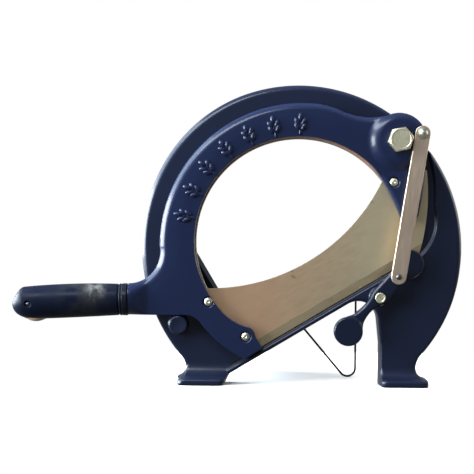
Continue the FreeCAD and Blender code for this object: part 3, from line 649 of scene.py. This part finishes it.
# The cradle is near black, darker than the frame's enamel: partly its own dark paint, partly painted
# shade for the shadow it sits in behind the frame and arm.
CRADLE_DARK_AND_SHADE = dull_paint("cradle_dark_paint_and_shade", (0.003, 0.004, 0.007), (0.006, 0.007, 0.012))
BLACK_WIRE = dull_paint("stand_black_wire", (0.0005, 0.0005, 0.0005), (0.002, 0.002, 0.002), 500.0, 0.0)
BLADE_STEEL = blade_steel()
LINK_STEEL = steel("link_drawn_steel", (0.78, 0.61, 0.45), (0.96, 0.77, 0.59), 0.42, 60.0,
                   math.radians(-8.9 + 90), (1.0, 10.0, 26.0))
BRIGHT_STEEL = steel("fastener_zinc", (0.90, 0.83, 0.58), (0.99, 0.95, 0.70), 0.44, 420.0)
SCREW_STEEL = steel("screw_aged_steel", (0.50, 0.50, 0.38), (0.70, 0.69, 0.55), 0.44, 420.0)
DARK_STEEL = steel("fastener_dark_steel", (0.10, 0.10, 0.11), (0.18, 0.18, 0.19), 0.38, 420.0)


def painted_wood():
    """Black navy paint on a turned beech grip, rubbed grey, with bare wood under the tip."""
    look = Look("grip_painted_wood", (0.006, 0.008, 0.016), 0.3, IOR=1.5,
                Specular_IOR_Level=0.07)
    place = look.node("ShaderNodeSeparateXYZ")
    look.link(look.place, place.inputs[0])
    clouds = look.noise(60.0, 5.0, 0.6)
    along = look.maths("ABSOLUTE", look.maths("SUBTRACT", place.outputs["X"], RUBBED_MIDDLE * MM))
    rubbed = look.range(along, 0.010, 0.028, 1.0, 0.0)
    rubbed = look.maths("MULTIPLY", rubbed, look.range(clouds, 0.36, 0.60, 0.0, 0.7))
    spot_x = look.maths("SUBTRACT", place.outputs["X"], WORN_SPOT[0] * MM)
    spot_z = look.maths("SUBTRACT", place.outputs["Z"], WORN_SPOT[1] * MM)
    squares = look.maths("ADD", look.maths("MULTIPLY", spot_x, spot_x),
                         look.maths("MULTIPLY", spot_z, spot_z))
    spot = look.range(look.maths("SQRT", squares), 0.001, 0.0125, 1.0, 0.0)
    patches = look.range(look.noise(120.0, 5.0, 0.6, (1.0, 1.0, 0.5)), 0.42, 0.62, 0.05, 1.0)
    spot = look.maths("MULTIPLY", spot, patches)
    paint = look.mix(rubbed, (0.004, 0.006, 0.014), (0.018, 0.019, 0.018))
    paint = look.mix(spot, paint, (0.13, 0.13, 0.125))
    grain = look.noise(240.0, 4.0, 0.6, (0.08, 1.0, 1.0))
    wood = look.ramp(grain, [(0.3, (0.45, 0.32, 0.23)), (0.7, (0.56, 0.42, 0.32))])
    from_spot = look.maths("ABSOLUTE", look.maths("SUBTRACT", place.outputs["X"], BARE_SPOT[0] * MM))
    beside = look.range(from_spot, BARE_HALF * MM, (BARE_HALF + 1.0) * MM, 1.0, 0.0)
    height = place.outputs["Z"]
    edge = look.range(height, (PAINT_EDGE + 0.5) * MM, (PAINT_EDGE + 0.9) * MM, 1.0, 0.0)
    edge = look.maths("MULTIPLY", beside, edge)
    bare = look.range(height, PAINT_EDGE * MM, (PAINT_EDGE + 0.5) * MM, 1.0, 0.0)
    bare = look.maths("MULTIPLY", beside, bare)
    paint = look.mix(edge, paint, (0.16, 0.07, 0.04))
    look.colour(look.mix(bare, paint, wood))
    look.rough(look.range(clouds, 0.3, 0.7, 0.26, 0.46))
    look.bump(grain, 0.10, 0.15)
    look.bump(look.noise(60.0, 2.0), 0.12, 0.6)
    return look.material


# ---------------------------------------------------------------- frame casting
OUTLINE = Flat(frame_outline())
BED_AREA = Flat(bed_outline(), 40.0)


def opening(x, z):
    across = z * math.cos(SLOPE) - x * math.sin(SLOPE)
    return np.maximum(radial(x, z, OPENING_CENTRE) - OPENING_RADIUS, SHEAR_EDGE - across)


def foot(x, d, z, outline, foot_span, face, lean):
    """A flange whose front runs up in a concave sweep to the leg's face; lean slants its right side."""
    cove = face - FOOT_FRONT
    heel = FOOT_THICK + cove
    plan = rectangle(x - lean * np.maximum(z - 2.0, 0), d, (foot_span[0], FOOT_FRONT),
                     (foot_span[1], FOOT_BACK), np.where(d < 0, 6.0, 2.0))
    plan = meet(plan, outline, 2.0)
    sweep = np.where(z < heel, cove - np.hypot(d - FOOT_FRONT, z - heel), face - d)
    toe = meet(meet(sweep, np.maximum(z - 60.0, d - 4.0), 0.1), plan, 2.6)
    return np.minimum(toe, extrude(np.maximum(plan, -d), z, 0.0, FOOT_THICK, 0.8, 1.5))


def frame_field(x, d, z):
    outline, gap = OUTLINE(x, z), opening(x, z)
    edge = 2.6 + 3.0 * ramp((z - 70) / 50)
    plate = extrude(outline, d, 0.0, WEB_BACK, edge, 1.5)
    land = extrude(outline, d, LAND_FRONT, WEB_BACK, edge, 1.5)
    land = meet(land, -BED_AREA(x, z), 1.6)
    casting = join(plate, land, 2.0)
    rim = extrude(np.abs(outline + 4.0) - 4.0, d, 5.0, RIM_BACK, 1.0, 2.2)
    lip = extrude(np.abs(gap - 4.0) - 4.0, d, 5.0, RIM_BACK, 1.0, 1.6)
    leg_top = np.where(x > 60, z - 52.0, z - 26.0)
    legs = extrude(np.maximum(outline, leg_top), d, 5.0, RIM_BACK, 1.0, 2.2)
    casting = join(casting, np.minimum(np.minimum(rim, lip), legs), 2.5)
    boss = extrude(radial(x, z, PIVOT) - 21.0, d, 5.0, 20.0, 1.0, 1.5)
    for t, n in CRADLE_SCREWS:
        pad = radial(x, z, slope_point(t, n)) - 6.0
        boss = np.minimum(boss, extrude(pad, d, 5.0, RIM_BACK, 1.0, 0.6))
    casting = join(casting, boss, 2.5)
    left_foot = foot(x, d, z, outline, LEFT_FOOT, 0.0, 0.55)
    right_foot = foot(x, d, z, outline, RIGHT_FOOT, LAND_FRONT, 0.0)
    casting = np.minimum(casting, np.minimum(left_foot, right_foot))
    casting = np.maximum(np.maximum(casting, outline), np.maximum(d - FOOT_BACK, -z))
    buffer = extrude(radial(x, z, BUFFER) - 9.2, d, -11.0, 1.0, 2.4)
    dish = np.sqrt((x - BUFFER[0]) ** 2 + (z - BUFFER[1]) ** 2 + (d + 35.0) ** 2) - 25.0
    casting = join(casting, cut(buffer, dish, 0.8), 1.6)
    casting = join(casting, extrude(radial(x, z, LEVER_PIVOT) - 8.2, d, -8.3, 1.0, 0.8), 1.6)
    casting = cut(casting, gap, 0.7)
    for screw in FOOT_SCREWS:
        hole = np.maximum(np.hypot(x - screw, d + 8.6) - 2.6, z - 6.0)
        casting = cut(casting, hole, 0.4)
    return casting


cast("frame_casting", frame_field, *box_of("frame"), 1.2, "frame", FRAME_BLUE,
     ["frame"], "frame_enamel")

# ---------------------------------------------------------------- lever arm
ARM = Flat(arm_outline())


def arm_field(x, d, z):
    outline = ARM(x, z)
    distance = radial(x, z, ARM_OPENING)
    angle = np.degrees(np.arctan2(z - ARM_OPENING[1], x - ARM_OPENING[0]))
    edge = 0.9 + 6.1 * ramp((distance - 108) / 8) * ramp((z - 74) / 10) * ramp((136 - x) / 16)
    edge = edge + 3.1 * ramp((44 - angle) / 6) * (x > 120) * (z > 150)
    crown = 0.45 * ramp(-outline / 16)
    swell = ramp((-84 - x) / 20)
    edge = edge + (13.0 - edge) * swell
    plate = extrude(outline, d + crown * (d < -7), ARM_FRONT - 8.7 * swell, ARM_BACK + 8.7 * swell,
                    edge, 0.6 + 12.4 * swell)
    hub = extrude(radial(x, z, PIVOT) - HUB_RADIUS, d, HUB_FRONT, ARM_BACK, 8.0, 0.6)
    arm = np.maximum(join(plate, hub, 5.0), outline)
    for screw in BLADE_SCREWS:
        pocket = np.maximum(radial(x, z, screw) - 4.9, d - ARM_FRONT - 1.8)
        arm = cut(arm, pocket, 1.2)
    return np.maximum(arm, TANG_END - x)


cast("arm_casting", arm_field, *box_of("arm"), 0.85, "arm", ARM_BLUE, ["arm"], "arm_enamel")


def wheat_ear(turn, centre):
    """A raised ear of wheat on the arm's face: a stem, two pairs of grains and one at the top."""
    face = ARM_FRONT + 0.1
    grains = [(6.0, 0.0, 0.0, 4.3)]
    for along in (-2.9, 1.9):
        grains += [(along, side * 3.3, side * 26.0, 4.2) for side in (-1, 1)]

    def field(x, d, z):
        u = (x - centre[0]) * math.cos(turn) + (z - centre[1]) * math.sin(turn)
        v = (z - centre[1]) * math.cos(turn) - (x - centre[0]) * math.sin(turn)
        across = np.hypot(np.maximum(np.abs(u + 3.0) - 6.6, 0), v)
        ear = np.hypot(across, d - face) - 1.25
        for along, aside, lean, half in grains:
            a = math.radians(lean)
            p = (u - along) * math.cos(a) + (v - aside) * math.sin(a)
            q = (v - aside) * math.cos(a) - (u - along) * math.sin(a)
            size = np.sqrt((p / half) ** 2 + (q / 2.3) ** 2 + ((d - face) / 2.7) ** 2)
            ear = join(ear, (size - 1) * 2.3, 0.25)
        return np.maximum(ear, d - ARM_FRONT - 0.6)

    return field


EAR_RADIUS = 111.5
for index in range(7):
    degrees = 168.0 - 13.0 * index
    spot = polar(ARM_OPENING, EAR_RADIUS, degrees)
    cast(f"arm_wheat_ear_{index + 1}", wheat_ear(math.radians(degrees), spot),
         (spot[0] - 12, ARM_FRONT - 3.0, spot[1] - 12), (spot[0] + 12, ARM_FRONT + 1.0, spot[1] + 12),
         0.4, "arm", ARM_BLUE, (), "arm_enamel")

# ---------------------------------------------------------------- blade screws
for node_name, look in (("blade", BLADE_STEEL), ("pivot_thrust_washer", DARK_STEEL),
                        ("pivot_spring_washer", DARK_STEEL), ("stop_lever_washer", BRIGHT_STEEL),
                        ("blade_keeper_screw", BRIGHT_STEEL), ("cradle_screws", BRIGHT_STEEL),
                        ("wire_stand", BLACK_WIRE), ("wire_stand_eyes", DARK_STEEL)):
    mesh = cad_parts[node_name].data
    mesh.materials.clear()
    mesh.materials.append(look)


def blade_screw(centre):
    """A round head with a drilled dimple, and its shank down to the blade."""
    def field(x, d, z):
        off = radial(x, z, centre)
        head = dome(x, d, z, centre, 4.4, 1.9, ARM_FRONT + 1.5)
        dimple = np.sqrt(off ** 2 + (d - ARM_FRONT + 1.6) ** 2) - 1.9
        shank = extrude(off - 2.5, d, ARM_FRONT + 1.0, -0.3, 0.2)
        return np.minimum(cut(head, dimple, 0.3), shank)

    return field


for index, (screw_x, screw_z) in enumerate(BLADE_SCREWS):
    cast(f"blade_screw_{index + 1}", blade_screw((screw_x, screw_z)),
         (screw_x - 5.0, ARM_FRONT - 1.0, screw_z - 5.0), (screw_x + 5.0, 0.0, screw_z + 5.0), 0.3,
         "arm", SCREW_STEEL, ["blade_screws"], "bright_steel")


# ---------------------------------------------------------------- pivot bolt
def bolt_field(x, d, z):
    off = radial(x, z, PIVOT)
    top = HUB_FRONT - 0.2
    head = meet(hexagon(x, z, PIVOT, 21.0, 12.0), np.abs(d - top + 4.4) - 4.4, 0.35)
    cone = off * math.sin(math.radians(30)) - (d - top + 8.8) * math.cos(math.radians(30))
    head = meet(head, cone - 10.0 * math.sin(math.radians(30)), 0.3)
    face = np.maximum(off - 8.6, d - top + 8.5)
    head = cut(head, face, 0.15)
    shoulder = extrude(off - 8.0, d, top - 1.0, 0.0, 0.2)
    turns = d / 2.0 - np.arctan2(z - PIVOT[1], x - PIVOT[0]) / (2 * math.pi)
    ridge = np.abs((turns % 1.0) - 0.5) * 1.1
    stem = extrude(off - 6.2 - ridge * (d > 20), d, -1.0, 35.6, 0.5)
    return np.minimum(head, np.minimum(shoulder, stem * 0.8))


cast("pivot_bolt_head", bolt_field, *box_of("pivot_bolt"), 0.42, "frame", BRIGHT_STEEL,
     ["pivot_bolt"], "bright_steel")


def nut_field(x, d, z):
    off = radial(x, z, PIVOT)
    nut = meet(hexagon(x, z, PIVOT, 21.0, 0.0), np.abs(d - 27.9) - 5.5, 0.35)
    slant, rise = math.sin(math.radians(30)), math.cos(math.radians(30))
    for end in (d - 22.4, 33.4 - d):
        nut = meet(nut, off * slant - end * rise - 10.3 * slant, 0.3)
    return cut(nut, off - 7.0, 0.6)


cast("pivot_lock_nut", nut_field, *box_of("pivot_nut"), 0.42, "frame", BRIGHT_STEEL,
     ["pivot_nut"], "bright_steel")


# ---------------------------------------------------------------- link and slice stop
def link_field(x, d, z):
    bar = extrude(capsule(x, z, LINK_TOP, LINK_BOTTOM) - 7.1, d, -21.2, -17.8, 0.55, 0.4)
    bar = cut(bar, radial(x, z, LINK_TOP) - 3.05, 0.3)
    return cut(bar, radial(x, z, LINK_BOTTOM) - 2.4, 0.3)


cast("link_flat_bar", link_field, *box_of("link_bar"), 0.55, "link", LINK_STEEL,
     ["link_bar"], "link_steel")


def top_pin_field(x, d, z):
    off = radial(x, z, LINK_TOP)
    flange = extrude(off - 5.3, d, -22.3, -21.35, 0.4)
    head = dome(x, d, z, LINK_TOP, 4.3, 2.4, -22.2)
    shank = extrude(off - 3.0, d, -21.6, -3.3, 0.2)
    return np.minimum(join(flange, head, 0.3), shank)


cast("link_top_dome_pin", top_pin_field, *box_of("link_top_pin"), 0.36, "arm", SCREW_STEEL,
     ["link_top_pin"], "bright_steel")


def bottom_pin_field(x, d, z):
    off = radial(x, z, LINK_BOTTOM)
    return np.minimum(dome(x, d, z, LINK_BOTTOM, 2.9, 1.8, -21.25),
                      extrude(off - 2.3, d, -21.4, -10.2, 0.3))


cast("link_bottom_dome_pin", bottom_pin_field, *box_of("link_bottom_pin"), 0.3, "link", DARK_STEEL,
     ["link_bottom_pin"], "dark_steel")

LEVER = Flat(lever_outline())


def lever_field(x, d, z):
    outline = LEVER(x, z)
    off = radial(x, z, STOP_DISC)
    plate = extrude(outline, d, -17.3, -9.5, 3.2, 1.0)
    plate = cut(plate, np.maximum(off - 19.1, -14.0 - d), 1.5)
    disc = extrude(off - 13.6, d, -20.0, -14.0, 1.8, 1.2)
    lever = join(plate, disc, 2.6)
    lever = np.maximum(lever, np.minimum(outline, off - 13.6))
    seat = np.maximum(radial(x, z, LEVER_PIVOT) - 5.4, d + 16.9)
    lever = cut(lever, seat, 0.4)
    relief = np.maximum(radial(x, z, LINK_BOTTOM) - 10.6, -11.0 - d)
    lever = cut(lever, relief, 0.4)
    lever = cut(lever, radial(x, z, LEVER_PIVOT) - 3.55, 0.3)
    return cut(lever, radial(x, z, LINK_BOTTOM) - 3.8, 0.3)


cast("stop_lever_casting", lever_field, *box_of("stop_lever"), 0.5, "stop_lever", LEVER_BLUE,
     ["stop_lever"], "arm_enamel")


def rivet_field(x, d, z):
    off = radial(x, z, LEVER_PIVOT)
    head = extrude(off - 4.9, d, -19.3, -17.4, 0.7, 0.3)
    head = cut(head, np.maximum(off - 3.2, d + 18.9), 0.3)
    shank = extrude(off - 3.5, d, -17.6, WEB_BACK + 0.2, 0.2)
    tail = dome(x, -d, z, LEVER_PIVOT, 5.4, 1.6, -WEB_BACK)
    return np.minimum(head, np.minimum(shank, tail))


cast("stop_lever_tubular_rivet", rivet_field, *box_of("stop_lever_rivet"), 0.36, "frame", BRIGHT_STEEL,
     ["stop_lever_rivet"], "bright_steel")


def keeper_field(x, d, z):
    off = radial(x, z, KEEPER)
    disc = extrude(off - 14.5, d, -8.6, LAND_FRONT, 1.5, 0.3)
    groove = np.hypot(off - 12.2, d + 8.9) - 0.6
    return cut(disc, groove, 0.3)


cast("blade_keeper_disc", keeper_field, *box_of("blade_keeper"), 0.5, "frame", FRAME_BLUE,
     ["blade_keeper"], "frame_enamel")


# ---------------------------------------------------------------- cradle
def cradle_field(x, d, z):
    t = x * math.cos(SLOPE) + z * math.sin(SLOPE)
    n = z * math.cos(SLOPE) - x * math.sin(SLOPE)
    half, bend = SHEET / 2, 5.0
    u = CRADLE_WALL - SHEET + bend - t
    v = SHEAR_EDGE - SHEET + bend - n
    fold = np.minimum(np.maximum(u, v), 0) + np.hypot(np.maximum(u, 0), np.maximum(v, 0)) - bend
    sheet = np.abs(fold + half) - half
    wall_side = rectangle(d, n, (RIM_BACK, 0.0), (CRADLE_BACK, CRADLE_TOP), 14.0)
    floor_side = rectangle(d, t, (RIM_BACK, 0.0), (CRADLE_BACK, CRADLE_END), 8.0)
    depth_side = np.maximum(RIM_BACK - d, d - CRADLE_BACK)
    sides = np.maximum(np.maximum(wall_side, floor_side), depth_side)
    tray = meet(sheet, sides, 0.8)
    flange_floor = rectangle(t, n, (CRADLE_WALL - SHEET, BAR_BOTTOM + 0.6),
                             (CRADLE_END - 14, SHEAR_EDGE), 3.0)
    flange_wall = rectangle(t, n, (CRADLE_WALL - 20.0, SHEAR_EDGE - SHEET),
                            (CRADLE_WALL, CRADLE_TOP - 14), 3.0)
    flange = extrude(np.minimum(flange_floor, flange_wall), d, RIM_BACK, RIM_BACK + SHEET, 0.7)
    hem = rectangle(t, n, (CRADLE_WALL - SHEET, SHEAR_EDGE - 9.0), (CRADLE_END - 4.0, SHEAR_EDGE), 2.0)
    hem = extrude(hem, d, CRADLE_BACK - SHEET, CRADLE_BACK, 0.7)
    cradle = join(join(tray, flange, 2.0), hem, 2.0)
    cradle = np.maximum(cradle, RIM_BACK - d)
    for spot in CRADLE_SCREWS:
        cradle = cut(cradle, radial(x, z, slope_point(*spot)) - 2.8, 0.2)
    return cradle


cast("bread_cradle_tray", cradle_field, *box_of("bread_cradle"), 1.0, "frame", CRADLE_DARK_AND_SHADE,
     ["bread_cradle"], "cradle_enamel")


# ---------------------------------------------------------------- grip
GRIP_LENGTH = math.dist(GRIP_TIP, GRIP_END)
# Profiles above and below the grip's axis: belly radius, its distance from the tip,
# fall in radius at the far end, length of the nose, and how blunt the nose is.
TOP_PROFILE = (16.4, 56.0, 1.5, 12.0, 1.0)
LOW_PROFILE = (15.9, 22.0, 1.1, 22.0, 0.4)
BARE_SPOT = (-191.4, 76.0)      # middle of the round swelling of bare wood
BARE_RADIUS = 17.2
BARE_HALF = 8.8                 # half the width of the bare wood
PAINT_EDGE = 61.9               # height where the paint ends over the bare wood
RUBBED_MIDDLE = -145.0          # where the paint is rubbed grey
WORN_SPOT = (-134.5, 88.0)      # middle of the palest patch


def along_grip(x, d, z):
    """Distance from the grip's tip along its axis, radius, and 1 above to 0 below the axis."""
    ex, ez = ((GRIP_END[i] - GRIP_TIP[i]) / GRIP_LENGTH for i in (0, 1))
    along = (x - GRIP_TIP[0]) * ex + (z - GRIP_TIP[1]) * ez
    up = (z - GRIP_TIP[1]) * ex - (x - GRIP_TIP[0]) * ez
    off = np.hypot(up, d - GRIP_DEPTH)
    return along, off, 0.5 + 0.5 * up / np.maximum(off, 0.1)


def grip_radius(along, profile):
    """Radius of the turned grip: a rounded nose that runs into a barrel."""
    belly, widest, fall, nose, bluntness = profile
    along = np.clip(along, 0, GRIP_LENGTH)
    barrel = belly - fall * ((along - widest) / (GRIP_LENGTH - widest)) ** 2
    return barrel * (1 - (1 - np.minimum(along / nose, 1)) ** 2) ** bluntness


def grip_field(x, d, z):
    along, off, above = along_grip(x, d, z)
    reach = 0.25
    radius, ahead = (grip_radius(s, LOW_PROFILE) * (1 - above) + grip_radius(s, TOP_PROFILE) * above
                     for s in (along, along + reach))
    steep = np.hypot(1.0, (ahead - radius) / reach)
    body = (off - radius) / steep
    body = np.maximum(body, -along)
    body = meet(body, along - GRIP_LENGTH, 1.3)
    swelling = np.sqrt((x - BARE_SPOT[0]) ** 2 + (1.5 * (d - GRIP_DEPTH)) ** 2 + (z - BARE_SPOT[1]) ** 2)
    swelling = np.maximum(swelling - BARE_RADIUS, z - 68.0)
    body = join(body, swelling, 0.6)
    pocket = np.maximum(radial(x, z, GRIP_PIN) - 3.0, np.maximum(14.1 - np.abs(d - GRIP_DEPTH), z - 90))
    body = cut(body, pocket, 0.5)
    return cut(body, np.maximum(off - 6.2, 8.0 - along), 0.4)


PAINTED_WOOD = painted_wood()
cast("grip_turned_handle", grip_field, *box_of("grip", 4.0), 0.85, "arm", PAINTED_WOOD, ["grip"],
     "painted_wood")


def collar_field(x, d, z):
    along, off, _ = along_grip(x, d, z)
    place = along - GRIP_LENGTH
    ring = extrude(off - 15.2, place, 0.15, COLLAR_LENGTH, 1.7, 0.6)
    groove = np.hypot(off - 15.6, place - 2.9) - 0.8
    ring = cut(ring, groove, 0.4)
    ring = cut(ring, off - 6.0, 0.2)
    return np.maximum(ring, x - TANG_END)


cast("grip_collar", collar_field, *box_of("grip_ferrule", 0.6), 0.5, "arm", COLLAR_BLUE,
     ["grip_ferrule"], "ferrule_enamel")


def grip_pin_field(x, d, z):
    pin = extrude(radial(x, z, GRIP_PIN) - 1.9, d, GRIP_DEPTH - 12.6, GRIP_DEPTH + 12.6, 0.3)
    head = dome(x, d, z, GRIP_PIN, 2.0, 1.0, GRIP_DEPTH - 13.6)
    neck = extrude(radial(x, z, GRIP_PIN) - 1.9, d, GRIP_DEPTH - 14.0, GRIP_DEPTH, 0.3)
    return np.minimum(np.minimum(pin, neck), head)


cast("grip_cross_pin", grip_pin_field, *box_of("grip_pin", 3.0), 0.34, "arm", DARK_STEEL,
     ["grip_pin"], "dark_steel")

# ---------------------------------------------------------------- floor, light, camera
floor_mesh = bpy.data.meshes.new("floor")
FLOOR = ((-0.9, -0.19), (0.9, 0.24))
(left, front), (right, back) = FLOOR
floor_mesh.from_pydata([(left, front, 0), (right, front, 0), (right, back, 0), (left, back, 0)], [],
                       [(0, 1, 2, 3)])
floor = bpy.data.objects.new("floor", floor_mesh)
bpy.context.scene.collection.objects.link(floor)
floor_look = Look("floor_paper", (0.97, 0.95, 0.92), 0.8)
floor_spot = floor_look.node("ShaderNodeSeparateXYZ")
floor_look.link(floor_look.place, floor_spot.inputs[0])
# Painted shade: the floor's colour darkens towards the back, where soft_top falls brightest, so the floor
# reads evenly white.
painted_shade_to_back = floor_look.range(floor_spot.outputs["Y"], 0.0, 0.09, 0.0, 1.0)
floor_look.colour(floor_look.mix(painted_shade_to_back, (0.97, 0.95, 0.92), (0.55, 0.54, 0.53)))
floor_look.rough(floor_look.range(floor_look.noise(4.0, 2.0), 0.3, 0.7, 0.75, 0.85))
floor_mesh.materials.append(floor_look.material)
floor.visible_glossy = False
floor.visible_diffuse = False


def area_light(name, place, aim, size, power, colour=(1.0, 1.0, 1.0)):
    data = bpy.data.lights.new(name, "AREA")
    data.shape = "RECTANGLE"
    data.size, data.size_y = size
    data.energy = power
    data.color = colour
    light = bpy.data.objects.new(name, data)
    light.location = place
    light.rotation_mode = "QUATERNION"
    light.rotation_quaternion = (Vector(aim) - Vector(place)).to_track_quat("-Z", "Y")
    bpy.context.scene.collection.objects.link(light)
    return light


area_light("window_left", (-1.3, 0.05, 0.32), (0, 0.05, 0.17), (2.1, 0.6), 110.0, (0.84, 0.92, 1.0))
area_light("sky_left", (-1.2, 0.0, 1.05), (0, 0.0, 0.14), (1.7, 0.9), 34.0, (0.68, 0.84, 1.0))
soft_top = area_light("soft_top", (0.1, 0.2, 1.5), (0.05, 0.1, 0.0), (1.9, 1.2), 84.0)
soft_top.visible_glossy = False
area_light("front_top", (-0.55, -0.8, 1.1), (0, -0.05, 0.10), (1.0, 0.4), 16.0, (0.84, 0.92, 1.0))
area_light("right_card", (1.3, 0.2, 0.5), (0, -0.05, 0.14), (0.8, 0.8), 6.0)


def studio_world():
    """White to the camera; the objects see a dim room in front and a pale wall behind."""
    world = bpy.data.worlds.new("studio")
    world.use_nodes = True
    nodes, links = world.node_tree.nodes, world.node_tree.links
    place = nodes.new("ShaderNodeTexCoord").outputs["Generated"]
    split = nodes.new("ShaderNodeSeparateXYZ")
    links.new(place, split.inputs[0])
    depth = nodes.new("ShaderNodeMapRange")
    for socket, value in (("From Min", -0.9), ("From Max", 0.9), ("To Min", 0.17), ("To Max", 0.30)):
        depth.inputs[socket].default_value = value
    links.new(split.outputs["Y"], depth.inputs["Value"])
    room, backdrop = nodes["Background"], nodes.new("ShaderNodeBackground")
    room.inputs["Color"].default_value = (0.94, 0.97, 1.0, 1.0)
    links.new(depth.outputs["Result"], room.inputs["Strength"])
    backdrop.inputs["Color"].default_value = (1.0, 1.0, 1.0, 1.0)
    choose = nodes.new("ShaderNodeMixShader")
    links.new(nodes.new("ShaderNodeLightPath").outputs["Is Camera Ray"], choose.inputs[0])
    links.new(room.outputs[0], choose.inputs[1])
    links.new(backdrop.outputs[0], choose.inputs[2])
    links.new(choose.outputs[0], nodes["World Output"].inputs["Surface"])
    return world


bpy.context.scene.world = studio_world()
bpy.context.scene.view_settings.view_transform = "Standard"

CAMERA_DISTANCE = 1.0
camera_data = bpy.data.cameras.new("camera")
camera_data.sensor_width = 36.0
camera_data.lens = 79.4
camera = bpy.data.objects.new("camera", camera_data)
camera.location = (-0.0015, BED * MM - CAMERA_DISTANCE, 0.1408)
camera.rotation_euler = (math.radians(90), math.radians(-0.63), 0)
bpy.context.scene.collection.objects.link(camera)
bpy.context.scene.camera = camera
